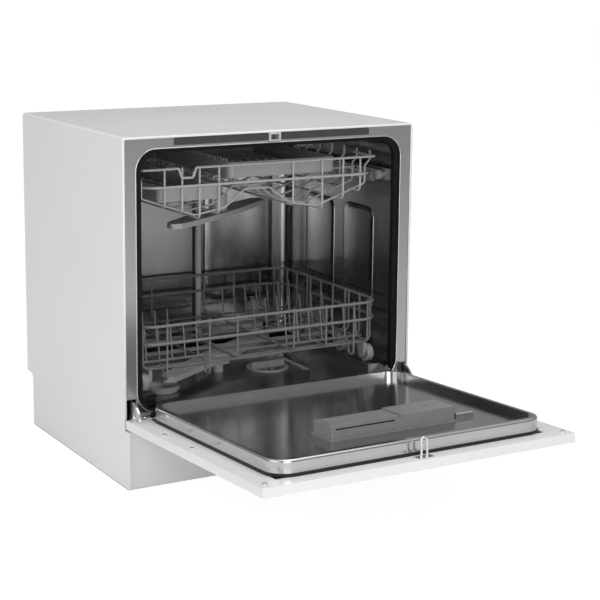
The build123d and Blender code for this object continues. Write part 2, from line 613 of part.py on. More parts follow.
def upper_feed_tube():
    """Tube under the upper rack, from its rear to the arm's post."""
    tube = through_pin(0, ARM_CENTRE_Y, FEED_END, FEED_Z, FEED_RADIUS)
    tube += Pos(0, ARM_CENTRE_Y, FEED_Z) * Sphere(FEED_RADIUS + 0.4)
    tube += post(0, ARM_CENTRE_Y, UPPER_ARM_Z + 2, FEED_Z, UPPER_POST_RADIUS)
    tube -= through_pin(0, ARM_CENTRE_Y, FEED_END + 1, FEED_Z, FEED_RADIUS - 2)
    tube -= post(0, ARM_CENTRE_Y, UPPER_ARM_Z, FEED_Z, UPPER_POST_RADIUS - 2)
    return tube


def feed_pipe():
    """Pipe along the tub's floor and up its rear wall to the upper rack's dock."""
    y = TUB_BACK - PIPE_RADIUS - 1
    z = OPEN_BOTTOM + PIPE_RADIUS + SLIDE_GAP
    start = SUMP_Y[1] + 8
    pipe = rod([(PIPE_X, start, z), (PIPE_X, y, z), (PIPE_X, y, FEED_Z), (0, y, FEED_Z)], 2 * PIPE_RADIUS, 16)
    pipe += block(PIPE_X - 11, PIPE_X + 11, start - 8, start + 8, OPEN_BOTTOM, OPEN_BOTTOM + 2 * PIPE_RADIUS + 2)
    pipe += through_pin(0, FEED_END + 0.6, TUB_BACK, FEED_Z, FEED_RADIUS + 2)
    pipe -= through_pin(0, FEED_END, TUB_BACK - 6, FEED_Z, FEED_RADIUS - 2)
    return pipe


def salt_container():
    """Softener's salt container under the tub's floor, with its neck in the floor."""
    body = post(SALT_X, SALT_Y, BASE_WALL, SALT_SHOULDER, SALT_RADIUS)
    body += post(SALT_X, SALT_Y, SALT_SHOULDER, OPEN_BOTTOM + 3, SALT_NECK)
    body -= post(SALT_X, SALT_Y, BASE_WALL + 3, SALT_SHOULDER - 3, SALT_RADIUS - 3)
    body -= post(SALT_X, SALT_Y, SALT_SHOULDER - 4, OPEN_BOTTOM + 4, SALT_NECK - 3)
    return body


def salt_cap():
    """Screw cap of the salt container."""
    z = OPEN_BOTTOM + 3
    cap = post(SALT_X, SALT_Y, z, z + 6, SALT_NECK + 2)
    cap += block(SALT_X - SALT_NECK, SALT_X + SALT_NECK, SALT_Y - 3, SALT_Y + 3, z + 5, z + 11)
    cap += post(SALT_X, SALT_Y, z - 10, z, SALT_NECK - 3 - SLIDE_GAP)
    return cap


def circulation_pump():
    """Wash pump: motor, volute and its foot on the base."""
    x, y, z = PUMP_PLACE
    pump = through_pin(x, y - 45, y + 45, z, 30)
    pump += through_pin(x, y + 45, y + 72, z, 38)
    pump += block(x - 24, x + 24, y - 35, y + 35, BASE_WALL, z)
    pump += through_pin(x, y - 55, y - 45, z, 8)
    return pump


def drain_pump():
    """Small pump that empties the sump, with its outlet stub through the rear."""
    x, y, z = DRAIN_PLACE
    pump = through_pin(x, y - 30, y + 30, z, 22)
    pump += block(x - 16, x + 16, y - 20, y + 20, BASE_WALL, z)
    pump += post(x, y, z, z + 34, 10)
    return pump


def inlet_valve():
    """Solenoid valve whose threaded inlet stands out of the rear recess."""
    body = block(INLET_X - 19, INLET_X + 19, RECESS_Y - 50, RECESS_Y - 4, BASE_WALL, SPIGOT_Z + 19)
    body += through_pin(INLET_X, RECESS_Y - 10, RECESS_Y + SHEET + SPIGOT_LENGTH, SPIGOT_Z, SPIGOT_RADIUS)
    body -= through_pin(INLET_X, RECESS_Y + 2, RECESS_Y + SHEET + SPIGOT_LENGTH + 1, SPIGOT_Z, SPIGOT_RADIUS - 4)
    body += block(INLET_X - 14, INLET_X + 14, RECESS_Y - 44, RECESS_Y - 16, SPIGOT_Z + 18, SPIGOT_Z + 44)
    return body


def drain_spigot():
    """Hose tail for the drain, in the rear recess."""
    end = RECESS_Y + SHEET + SPIGOT_LENGTH
    tail = through_pin(DRAIN_X, RECESS_Y - 20, end, SPIGOT_Z, DRAIN_RADIUS)
    tail += through_pin(DRAIN_X, RECESS_Y - 4, RECESS_Y, SPIGOT_Z, DRAIN_RADIUS + 5)
    tail -= through_pin(DRAIN_X, RECESS_Y - 16, end + 1, SPIGOT_Z, DRAIN_RADIUS - 3)
    return tail


def cable_gland():
    """Strain relief for the mains cord, with its empty bore."""
    gland = through_pin(CORD_X, RECESS_Y - 8, RECESS_Y + SHEET + 12, SPIGOT_Z, GLAND_RADIUS)
    gland += through_pin(CORD_X, RECESS_Y + SHEET, RECESS_Y + SHEET + 4, SPIGOT_Z, GLAND_RADIUS + 4)
    gland -= through_pin(CORD_X, RECESS_Y - 9, RECESS_Y + SHEET + 13, SPIGOT_Z, CORD_RADIUS)
    return gland


def heater():
    """Flow heater lying in the base."""
    x, y, z = HEATER_PLACE
    body = through_pin(x, y - 60, y + 60, z, 24)
    body += block(x - 15, x + 15, y - 40, y + 40, BASE_WALL, z)
    return body


# ---------------------------------------------------------------- hinges
def hinge_bracket():
    """Right-hand hinge bracket: a plate on the base with the hinge pin."""
    outline = [(2, BASE_WALL), (52, BASE_WALL), (52, 60), (12, HINGE_Z + 3), (2, HINGE_Z + 3)]
    plate = plate_yz(outline, BRACKET_X, BRACKET_X + BRACKET_THICK)
    plate += cross_pin(BRACKET_X, BRACKET_X + BRACKET_THICK, HINGE_Y, HINGE_Z, LOBE_RADIUS)
    plate += block(BRACKET_X, BRACKET_X + BRACKET_THICK, HINGE_Y, 6, HINGE_Z - LOBE_RADIUS, HINGE_Z + 3)
    plate += block(BRACKET_X - 16, BRACKET_X + BRACKET_THICK, 2, 52, BASE_WALL, 2 * BASE_WALL)
    plate += cross_pin(SPRING_IN - 2, ARM_X + ARM_THICK + 2, HINGE_Y, HINGE_Z, PIN_RADIUS)
    return plate


def hinge_brackets():
    right = hinge_bracket()
    return grouped([mirrored(right), right])


def hinge_spring():
    """Right-hand balance spring, wound round the pin."""
    coil = Helix(SPRING_PITCH, SPRING_PITCH * SPRING_TURNS, SPRING_MEAN)
    wire = sweep(Plane(origin=coil @ 0, z_dir=coil % 0) * Circle(SPRING_WIRE / 2), path=coil)
    return Pos(SPRING_IN, HINGE_Y, HINGE_Z) * Rot(0, 90, 0) * wire


def hinge_springs():
    right = hinge_spring()
    return grouped([mirrored(right), right])


def hinge_arm():
    """Right-hand hinge arm: a strap in the door, an eye on the pin and a curved tail in the cabinet."""
    x0, x1 = ARM_X, ARM_X + ARM_THICK
    strap = block(x0, x1, DOOR_FRONT + DOOR_SHEET, DOOR_BACK - 2, HINGE_Z + 4, HINGE_Z + 100)
    eye = cross_pin(x0, x1, HINGE_Y, HINGE_Z, LOBE_RADIUS)
    sector = cross_pin(x0, x1, HINGE_Y, HINGE_Z, ARM_REACH)
    sector -= cross_pin(x0 - 1, x1 + 1, HINGE_Y, HINGE_Z, ARM_REACH - 13)
    sector = sector & block(x0 - 1, x1 + 1, HINGE_Y + 4, HINGE_Y + 60, HINGE_Z - 4, HINGE_Z + 60)
    neck = block(x0, x1, HINGE_Y, HINGE_Y + ARM_REACH - 8, HINGE_Z - 4, HINGE_Z + 5)
    arm = strap + eye + sector + neck
    return arm - cross_pin(x0 - 1, x1 + 1, HINGE_Y, HINGE_Z, PIN_RADIUS + PIN_PLAY)


def hinge_arms():
    right = hinge_arm()
    return grouped([mirrored(right), right])


# ---------------------------------------------------------------- door
def door_screw_places():
    """Screw heads on the door's inner flange."""
    side = HALF - 12
    return [(sign * side, z) for sign in (-1, 1) for z in (DOOR_BOTTOM + 120, DOOR_BOTTOM + 215, DOOR_TOP - 16)]


def door_panel():
    """Outer door: a shallow painted pan."""
    top = FASCIA_BOTTOM
    pan = block(-HALF, HALF, DOOR_FRONT, DOOR_BACK, DOOR_BOTTOM, top)
    pan = fillet(pan.edges().filter_by(Axis.Z).sort_by(Axis.Y)[:2], 1.5)
    pan -= block(-HALF + DOOR_SHEET, HALF - DOOR_SHEET, DOOR_FRONT + DOOR_SHEET, DOOR_BACK - DOOR_SHEET,
                 DOOR_BOTTOM + DOOR_SHEET, top + 1)
    pan -= block(-HALF + LIP, HALF - LIP, DOOR_BACK - 2, DOOR_BACK + 1, LINER_BOTTOM + 2, top + 1)
    for sign in (-1, 1):
        x0, x1 = sorted((sign * (SPRING_IN - 3), sign * (ARM_X + ARM_THICK + 3)))
        pan -= cross_pin(x0, x1, HINGE_Y, HINGE_Z, LOBE_RADIUS + 1)
    for x, z in door_screw_places():
        if z < top:
            pan -= through_pin(x, DOOR_BACK - 2, DOOR_BACK + 1, z, SCREW_RADIUS)
    return pan


def door_fascia():
    """Plastic control fascia across the door's top, with a finger grip."""
    z0 = FASCIA_BOTTOM + SLIDE_GAP
    wall = FASCIA_WALL
    shell = block(-HALF, HALF, DOOR_FRONT, DOOR_BACK, z0, DOOR_TOP)
    shell = fillet(shell.edges().filter_by(Axis.Z).sort_by(Axis.Y)[:2], 1.5)
    shell -= block(-HALF + wall, HALF - wall, DOOR_FRONT + wall, DOOR_BACK - wall, z0 - 1, DOOR_TOP - wall)
    shell -= block(-HALF + LIP, HALF - LIP, DOOR_BACK - wall - 1, DOOR_BACK + 1, z0 - 1, LINER_TOP - 2)
    cup = block(-GRIP_HALF - 2, GRIP_HALF + 2, DOOR_FRONT, DOOR_FRONT + GRIP_DEEP + 2, z0, z0 + GRIP_TALL + 4)
    shell += cup
    shell -= block(-GRIP_HALF, GRIP_HALF, DOOR_FRONT - 1, DOOR_FRONT + GRIP_DEEP, z0 + 2, z0 + 2 + GRIP_TALL)
    for x in BUTTON_X:
        shell -= block(x - BUTTON_HALF, x + BUTTON_HALF, DOOR_FRONT - 1, DOOR_FRONT + wall + 1,
                       BUTTON_Z - BUTTON_TALL / 2, BUTTON_Z + BUTTON_TALL / 2)
    shell -= block(-DISPLAY_HALF, DISPLAY_HALF, DOOR_FRONT - 1, DOOR_FRONT + wall + 1,
                   BUTTON_Z - DISPLAY_TALL / 2, BUTTON_Z + DISPLAY_TALL / 2)
    for x, z in door_screw_places():
        if z > z0:
            shell -= through_pin(x, DOOR_BACK - wall - 1, DOOR_BACK + 1, z, SCREW_RADIUS)
    return shell


def display_window():
    """Smoked window of the display."""
    gap = DISPLAY_PLAY
    window = block(-DISPLAY_HALF + gap, DISPLAY_HALF - gap, DOOR_FRONT + 0.2, DOOR_FRONT + FASCIA_WALL,
                   BUTTON_Z - DISPLAY_TALL / 2 + gap, BUTTON_Z + DISPLAY_TALL / 2 - gap)
    window += block(-DISPLAY_HALF - 3, DISPLAY_HALF + 3, DOOR_FRONT + FASCIA_WALL, DOOR_FRONT + FASCIA_WALL + 1.2,
                    BUTTON_Z - DISPLAY_TALL / 2 - 3, BUTTON_Z + DISPLAY_TALL / 2 + 3)
    return window


def control_board():
    """Control board behind the fascia, on its standoffs."""
    y = DOOR_FRONT + FASCIA_WALL + BOARD_STAND
    z0, z1 = BUTTON_Z - 13, BUTTON_Z + 9
    board = block(-BOARD_HALF, BOARD_HALF, y, y + BOARD_THICK, z0, z1)
    for x in (-BOARD_HALF + 8, BOARD_HALF - 8):
        board += block(x - 3, x + 3, DOOR_FRONT + FASCIA_WALL, y, z0, z0 + 5)
    board += block(-40, 20, y + BOARD_THICK, y + 5, z0 + 3, z0 + 15)
    return board


def button(x):
    """Push button: a cap through the fascia with a flange behind it."""
    half = BUTTON_HALF - BUTTON_GAP
    tall = BUTTON_TALL / 2 - BUTTON_GAP
    back = DOOR_FRONT + FASCIA_WALL
    cap = block(x - half, x + half, DOOR_FRONT - BUTTON_PROUD, back, BUTTON_Z - tall, BUTTON_Z + tall)
    cap = fillet(cap.edges().group_by(Axis.Y)[0], 0.8)
    cap += block(x - half - 2, x + half + 2, back, back + 1.2, BUTTON_Z - tall - 1, BUTTON_Z + tall + 1)
    return cap


def door_core():
    """Black insulation between the pan and the liner."""
    skin = DOOR_FRONT + DOOR_SHEET
    edge = CORE_PROUD
    core = block(-HALF + LIP + 2, HALF - LIP - 2, skin, DOOR_BACK + 1, LINER_BOTTOM + 5, FASCIA_BOTTOM - 6)
    core += soft_block(-LINER_HALF - edge, LINER_HALF + edge, DOOR_BACK, 0, LINER_BOTTOM - edge, LINER_TOP + edge,
                       LINER_RADIUS + edge)
    core -= block(DISP_LEFT - 1, DISP_RIGHT + 1, skin - 1, 1, DISP_BOTTOM - 1, DISP_TOP + 1)
    return core


def door_liner():
    """Stainless inner door: a pressed tray with a raised rim."""
    half, z0, z1, t = LINER_HALF, LINER_BOTTOM, LINER_TOP, LINER_SHEET
    r = LINER_RADIUS
    inner = RIM_WIDTH
    skin = soft_block(-half, half, 0, LINER_RISE, z0, z1, r)
    skin = fillet(skin.edges().group_by(Axis.Y)[-1], RIM_ROUND)
    skin -= soft_block(-half + inner, half - inner, LINER_FLOOR, LINER_RISE + 1, z0 + inner, z1 - inner, r - inner)
    skin -= soft_block(-half + t, half - t, -1, LINER_FLOOR - t, z0 + t, z1 - t, r - t)
    channel = soft_block(-half + t, half - t, LINER_FLOOR - 2 * t, LINER_RISE - t, z0 + t, z1 - t, r - t)
    channel = fillet(channel.edges().group_by(Axis.Y)[-1], RIM_ROUND - 1)
    channel -= soft_block(-half + inner - t, half - inner + t, LINER_FLOOR - 3 * t, LINER_RISE + 1,
                          z0 + inner - t, z1 - inner + t, r - inner + t)
    skin -= channel
    cut = soft_block(DISP_LEFT - 0.4, DISP_RIGHT + 0.4, LINER_FLOOR - 4, LINER_FLOOR + 1, DISP_BOTTOM - 0.4,
                     DISP_TOP + 0.4, 3)
    ridge = block(RIDGE_X, RIDGE_X + RIDGE_WIDE, LINER_FLOOR - t, LINER_FLOOR + RIDGE_RISE, DISP_BOTTOM - 6,
                  DISP_TOP - 8)
    ridge = fillet(ridge.edges().group_by(Axis.Y)[-1], 3)
    return skin + ridge - cut


def detergent_dispenser():
    """Grey dispenser body: a detergent cup under the sliding lid and a hood that takes the lid."""
    body = soft_block(DISP_LEFT, DISP_RIGHT, -DISP_DEPTH, LID_SEAT, DISP_BOTTOM, DISP_TOP, 2)
    flange = soft_block(DISP_LEFT - 4, DISP_RIGHT + 4, LINER_FLOOR, LINER_FLOOR + 1.2, DISP_BOTTOM - 4,
                        DISP_TOP + 4, 5)
    body += flange
    hood_in = LID_SEAT + LID_THICK + 2 * SLIDE_GAP
    hood = block(LID_RIGHT + 2, DISP_RIGHT, LID_SEAT - 1, hood_in + HOOD_THICK, DISP_BOTTOM, DISP_TOP)
    hood -= block(LID_RIGHT + 1, DISP_RIGHT - 3, LID_SEAT, hood_in, DISP_BOTTOM + 2.2, DISP_TOP - 2.2)
    body += hood
    cup = soft_block(DISP_LEFT + 6, LID_RIGHT - 10, -DISP_DEPTH + 3, LID_SEAT + 1, DISP_BOTTOM + 8, DISP_TOP - 8, 5)
    return body - cup


def detergent_lid():
    """Lid that slides under the hood."""
    y0 = LID_SEAT + 0.05
    lid = block(DISP_LEFT + 1, LID_RIGHT, y0, y0 + LID_THICK, DISP_BOTTOM + 2.6, DISP_TOP - 2.6)
    lid += block(LID_RIGHT - 1, LID_RIGHT + 12, y0, y0 + LID_THICK, DISP_BOTTOM + 3, DISP_TOP - 3)
    grip = block(DISP_LEFT + 4, DISP_LEFT + 7, y0 + LID_THICK - 0.5, y0 + LID_THICK + 2, DISP_BOTTOM + 12,
                 DISP_TOP - 12)
    return lid + grip


def door_striker():
    """Wire striker on a plate, which the catch takes hold of."""
    plate = block(-STRIKER_HALF - 9, STRIKER_HALF + 9, DOOR_BACK, DOOR_BACK + 1.6, STRIKER_Z - 7, STRIKER_Z + 7)
    y1 = DOOR_BACK + STRIKER_LONG
    loop = rod([(-STRIKER_HALF, DOOR_BACK + 1, STRIKER_Z), (-STRIKER_HALF, y1, STRIKER_Z),
                (STRIKER_HALF, y1, STRIKER_Z), (STRIKER_HALF, DOOR_BACK + 1, STRIKER_Z)], STRIKER_WIRE, 4)
    return plate + loop


def door_screws():
    made = []
    for x, z in door_screw_places():
        screw = through_pin(x, DOOR_BACK, DOOR_BACK + SCREW_RISE, z, SCREW_HEAD)
        screw += through_pin(x, DOOR_BACK - 8, DOOR_BACK + 1, z, SCREW_RADIUS - 0.1)
        made.append(screw)
    return grouped(made)


def cabinet_screws():
    made = []
    for x, z in back_screw_places():
        screw = through_pin(x, DEPTH, DEPTH + SCREW_RISE, z, SCREW_HEAD)
        screw += through_pin(x, DEPTH - 8, DEPTH + 1, z, SCREW_RADIUS - 0.1)
        made.append(screw)
    return grouped(made)


# ---------------------------------------------------------------- lower rack
def side_inside(half, y0, y1, corner, inset, y):
    """Where an upright wire stands inside a hoop's side, at one depth."""
    past = max(y0 + corner - y, y - (y1 - corner), 0)
    return half - corner + math.sqrt((corner - inset) ** 2 - past ** 2)


def ends_inside(half, y0, y1, corner, inset, x):
    """Where upright wires stand inside a hoop's front and rear, at one width."""
    past = max(abs(x) - (half - corner), 0)
    reach = math.sqrt((corner - inset) ** 2 - past ** 2)
    return y0 + corner - reach, y1 - corner + reach


def basket_wire_y(half, y, z_top, z_floor, bend):
    """One wire across the rack: down a side, over the floor and up the other side."""
    return rod([(-half, y, z_top), (-half, y, z_floor), (half, y, z_floor), (half, y, z_top)], RACK_WIRE, bend)


def lower_rack_frame():
    """Coated wire basket: two hoops and the wires welded inside them."""
    hoop_form = (LOW_HALF, LOW_FRONT, LOW_BACK, LOW_CORNER, (RIM_WIRE + RACK_WIRE) / 2 - WELD)
    wires = [hoop(LOW_HALF, LOW_FRONT, LOW_BACK, z, RIM_WIRE, LOW_CORNER) for z in (LOW_RIM_Z, LOW_MID_Z)]
    top = LOW_RIM_Z + 2
    for y in LOW_CROSS_Y:
        wires.append(basket_wire_y(side_inside(*hoop_form, y), y, top, LOW_FLOOR_Z, CROSS_BEND))
    for x, dips in LOW_LONG_X:
        front, back = ends_inside(*hoop_form, x)
        if dips:
            path = [(x, front, top), (x, front, LOOP_Z), (x, front + LOOP_LONG, LOOP_Z),
                    (x, front + LOOP_LONG, LONG_Z), (x, back, LONG_Z), (x, back, top)]
            wires.append(rod(path, RACK_WIRE, 6))
        else:
            wires.append(rod([(x, front, top), (x, front, LONG_Z), (x, back, LONG_Z), (x, back, top)], RACK_WIRE, 8))
    return grouped(wires)


def lower_rack_tines():
    """Rows of tines, each row on a wire of its own across the basket's floor."""
    base_z = LONG_Z + RACK_WIRE - WELD
    foot_z = base_z - 0.5
    rows = []
    for y in TINE_ROW_Y:
        for x0, count in TINE_GROUPS:
            x1 = x0 + TINE_PITCH * (count - 1)
            row = [rod([(x0 - 10, y, base_z), (x1 + 10, y, base_z)], RACK_WIRE, 1)]
            for k in range(count):
                x = x0 + TINE_PITCH * k
                row.append(rod([(x, y, foot_z), (x, y + TINE_LEAN, base_z + TINE_TALL)], TINE_WIRE, 1))
            rows.append(fused(row))
    return grouped(rows)


def wheel_carrier(sign, y):
    """Plastic clip under the rack's floor with a wheel's axle."""
    x1 = WHEEL_X - ROLL_GAP
    x0 = x1 - 6.5
    body = block(x0, x1, y - 10, y + 10, WHEEL_Z + 2, LOW_FLOOR_Z - RACK_WIRE / 2)
    body += cross_pin(x0, x1, y, WHEEL_Z, 8)
    body += block(x0, x1, y - 8, y + 8, WHEEL_Z, WHEEL_Z + 4)
    body += cross_pin(x1 - 1, WHEEL_X + WHEEL_WIDE + ROLL_GAP, y, WHEEL_Z, AXLE_RADIUS)
    body += cross_pin(WHEEL_X + WHEEL_WIDE + ROLL_GAP, WHEEL_X + WHEEL_WIDE + ROLL_GAP + 1.5, y, WHEEL_Z,
                      AXLE_RADIUS + 1)
    return body if sign > 0 else mirrored(body)


def rack_clips():
    return grouped([wheel_carrier(sign, y) for sign in (-1, 1) for y in WHEEL_Y])


def rack_wheel(sign, y):
    """A rack wheel with a dished face."""
    x0, x1 = WHEEL_X, WHEEL_X + WHEEL_WIDE
    wheel = cross_pin(x0, x1, y, WHEEL_Z, WHEEL_RADIUS)
    wheel = fillet(wheel.edges(), 1.2)
    for a, b in ((x0 - 1, x0 + 2), (x1 - 2, x1 + 1)):
        wheel -= cross_pin(a, b, y, WHEEL_Z, WHEEL_RADIUS - 3.5) - cross_pin(a, b, y, WHEEL_Z, 6)
    wheel -= cross_pin(x0 - 1, x1 + 1, y, WHEEL_Z, AXLE_RADIUS + AXLE_PLAY)
    return wheel if sign > 0 else mirrored(wheel)


# ---------------------------------------------------------------- upper rack
def valley_profile(side):
    """Half of the upper rack's floor, seen from the front: side, low point, then the ridge in the middle."""
    side_z = UP_SIDE_Z - (UP_HALF - side) * (UP_SIDE_Z - UP_LOW_Z) / (UP_HALF - UP_LOW_X)
    return [(UP_HALF + 9, UP_RIM_Z + 7), (UP_HALF + 9, UP_RIM_Z - 8), (side, UP_RIM_Z - 18),
            (side, side_z), (UP_LOW_X, UP_LOW_Z), (UP_KNEE_X, UP_LOW_Z + UP_KNEE_RISE),
            (UP_RIDGE_X, UP_RIDGE_Z)]


def valley_height(x):
    """Height of the cross wires at a distance from the middle."""
    points = valley_profile(UP_HALF)[3:]
    for (xa, za), (xb, zb) in zip(points, points[1:]):
        if xb <= abs(x) <= xa:
            return zb + (za - zb) * (abs(x) - xb) / (xa - xb)
    return UP_RIDGE_Z


def upper_rack_frame():
    """Coated wire basket whose floor dips on both sides of the feed tube."""
    loop_half = UP_HALF + (UP_WIRE + RACK_WIRE) / 2 - WELD
    inset = (UP_WIRE + RACK_WIRE) / 2 - WELD
    hoop_form = (loop_half, UP_FRONT, UP_BACK, UP_CORNER, inset)
    wires = [hoop(loop_half, UP_FRONT, UP_BACK, UP_MID_Z, UP_WIRE, UP_CORNER)]
    bar_x = RIGHT_TRAY[0] - UP_WIRE
    bar_z = UP_MID_Z + UP_WIRE - WELD
    for y in UP_CROSS_Y:
        right = valley_profile(side_inside(*hoop_form, y))
        wire = rod([(x, y, z) for x, z in right + [(-x, z) for x, z in reversed(right)]], RACK_WIRE, 7)
        if y in TRAY_BAR_Y:
            wire += rod([(bar_x, y, valley_height(bar_x)), (bar_x, y, bar_z), (loop_half, y, bar_z)],
                        UP_WIRE - 0.4, 5)
        wires.append(wire)
    for x in UP_LONG_X:
        front, back = ends_inside(*hoop_form, x)
        z = valley_height(x) - (RACK_WIRE - WELD) / math.cos(math.radians(VALLEY_SLOPE))
        wires.append(rod([(x, front, UP_RIM_Z + 1), (x, front, z), (x, back, z), (x, back, UP_MID_Z + 2)],
                         RACK_WIRE, 9))
    side = UP_HALF + 9 - inset
    z = UP_RIM_Z
    y = UP_FRONT
    wires.append(rod([(-side, UP_CROSS_Y[1] + 4, z), (-side, y, z), (-158, y, z), (-152, y, z - 16),
                      (-132, y, z - 16), (-126, y, z), (side, y, z), (side, UP_CROSS_Y[1] + 4, z)],
                     UP_WIRE, 3.2))
    return grouped(wires)


def upper_runners():
    """Steel channels on the rack's sides, which ride on the rollers."""
    x0 = RAIL_IN
    made = []
    z0, z1 = RAIL_Z - RAIL_TALL / 2, RAIL_Z + RAIL_TALL / 2
    rail = block(x0, x0 + RAIL_WIDE, UP_FRONT + 2, UP_BACK, z0, z1)
    rail -= block(x0 + RAIL_SHEET, x0 + RAIL_WIDE + 1, UP_FRONT + 1, UP_BACK - 3, z0 + RAIL_SHEET, z1 - RAIL_SHEET)
    made.append(mirrored(rail))
    made.append(rail)
    return grouped(made)


def rail_brackets():
    """Plates on the tub's side walls with two roller axles each."""
    x1 = OPEN_HALF
    made = []
    plate = block(x1 - 3, x1, ROLLER_Y[0] - 12, ROLLER_Y[-1] + 12, RAIL_Z - 10, RAIL_Z + 10)
    for y in ROLLER_Y:
        plate += cross_pin(ROLLER_X - ROLL_GAP, x1 - 2, y, RAIL_Z, ROLLER_AXLE)
        plate += cross_pin(ROLLER_X - ROLL_GAP - 1.2, ROLLER_X - ROLL_GAP, y, RAIL_Z, ROLLER_AXLE + 1)
        plate += cross_pin(ROLLER_X + ROLLER_WIDE + ROLL_GAP, x1 - 2, y, RAIL_Z, ROLLER_AXLE + 2)
    made.append(mirrored(plate))
    made.append(plate)
    return grouped(made)


def rail_roller(sign, y):
    """A roller of the upper rack's rails."""
    roller = cross_pin(ROLLER_X, ROLLER_X + ROLLER_WIDE, y, RAIL_Z, ROLLER_RADIUS)
    roller = fillet(roller.edges(), 0.8)
    roller -= cross_pin(ROLLER_X - 1, ROLLER_X + ROLLER_WIDE + 1, y, RAIL_Z, ROLLER_AXLE + AXLE_PLAY)
    return roller if sign > 0 else mirrored(roller)


def cutlery_tray(x0, x1, y0, y1, z0, z1, teeth_sides):
    """Plastic cutlery tray: walls, a slotted floor and combs of ribs."""
    wall = TRAY_WALL
    tray = soft_block(x0, x1, y0, y1, z0, z1, TRAY_CORNER, Axis.Z)
    tray -= soft_block(x0 + wall, x1 - wall, y0 + wall, y1 - wall, z0 + wall, z1 + 1, TRAY_CORNER - wall, Axis.Z)
    columns = int((x1 - x0 - 16) // 17)
    rows = int((y1 - y0 - 20) // 46)
    slot = Box(8, 34, 3 * wall)
    centre = Pos((x0 + x1) / 2, (y0 + y1) / 2, z0 + wall / 2)
    cuts = [centre * place * slot for place in GridLocations(17, 46, columns, rows)]
    tray = tray.cut(*cuts)
    count = int((y1 - y0 - 2 * TRAY_CORNER) // TOOTH_PITCH)
    teeth = []
    for side in teeth_sides:
        x = x0 + wall if side < 0 else x1 - wall
        for k in range(count + 1):
            y = y0 + TRAY_CORNER + TOOTH_PITCH * k
            ends = sorted((x, x - side * TOOTH_LONG))
            teeth.append(block(ends[0], ends[1], y - 1, y + 1, z0 + wall - 0.5, z1 - 2))
            teeth.append(block(min(x, x + side * wall), max(x, x + side * wall), y - 1, y + 1, z1 - 1, z1 + 6))
    return tray.fuse(*teeth)


def cutlery_tray_left():
    """Low tray on the left slope of the rack's floor."""
    z0 = valley_height(LEFT_TRAY[0]) + RACK_WIRE * 0.6 + SLIDE_GAP
    return cutlery_tray(LEFT_TRAY[0], LEFT_TRAY[1], TRAY_FRONT, TRAY_BACK, z0, z0 + TRAY_TALL, (1,))


def cutlery_tray_right():
    """High tray on the cross bars."""
    z0 = UP_MID_Z + 1.5 * UP_WIRE - WELD
    return cutlery_tray(RIGHT_TRAY[0], RIGHT_TRAY[1], TRAY_FRONT, TRAY_BACK, z0, z0 + TRAY_TALL, (-1,))


# ---------------------------------------------------------------- every node
def build_nodes():
    """Each sub-part under its node's name, in the place where it is drawn."""
    nodes = {
        "outer_wrap": outer_wrap(), "back_panel": back_panel(), "base_tray": base_tray(), "feet": feet(),
        "plinth": plinth(), "front_frame": front_frame(), "trim_strip": trim_strip(), "tub": tub(),
        "door_gasket": door_gasket(), "latch_catch": latch_catch(), "sump": sump(),
        "filter_plate": filter_plate(), "coarse_filter": coarse_filter(), "lower_spray_arm": lower_spray_arm(),
        "feed_pipe": feed_pipe(), "salt_container": salt_container(), "salt_cap": salt_cap(),
        "circulation_pump": circulation_pump(), "drain_pump": drain_pump(), "inlet_valve": inlet_valve(),
        "drain_spigot": drain_spigot(), "cable_gland": cable_gland(), "heater": heater(),
        "hinge_brackets": hinge_brackets(), "hinge_springs": hinge_springs(), "cabinet_screws": cabinet_screws(),
        "rail_brackets": rail_brackets(), "lower_rack_frame": lower_rack_frame(),
        "lower_rack_tines": lower_rack_tines(), "rack_clips": rack_clips(),
        "upper_rack_frame": upper_rack_frame(), "upper_runners": upper_runners(),
        "cutlery_tray_left": cutlery_tray_left(), "cutlery_tray_right": cutlery_tray_right(),
        "upper_feed_tube": upper_feed_tube(), "upper_spray_arm": upper_spray_arm(),
    }
    for side, sign in (("left", -1), ("right", 1)):
        for place, y in zip(("front", "middle", "rear"), WHEEL_Y):
            nodes[f"wheel_{side}_{place}"] = rack_wheel(sign, y)
        for place, y in zip(("front", "rear"), ROLLER_Y):
            nodes[f"roller_{side}_{place}"] = rail_roller(sign, y)
    door = {
        "door_panel": door_panel(), "door_fascia": door_fascia(), "display_window": display_window(),
        "control_board": control_board(), "door_core": door_core(), "door_liner": door_liner(),
        "detergent_dispenser": detergent_dispenser(), "detergent_lid": detergent_lid(),
        "door_striker": door_striker(), "door_screws": door_screws(), "hinge_arms": hinge_arms(),
    }
    for name, x in zip(BUTTON_NAMES, BUTTON_X):
        door[name] = button(x)
    for name, shape in door.items():
        nodes[name] = swing_open(shape)
    return nodes


def main():
    os.makedirs("parts", exist_ok=True)
    for name, shape in build_nodes().items():
        shape.label = name
        export_step(shape, f"parts/{name}.step")


main()
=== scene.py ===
import math
import bpy
import bmesh
from mathutils import Matrix, Vector


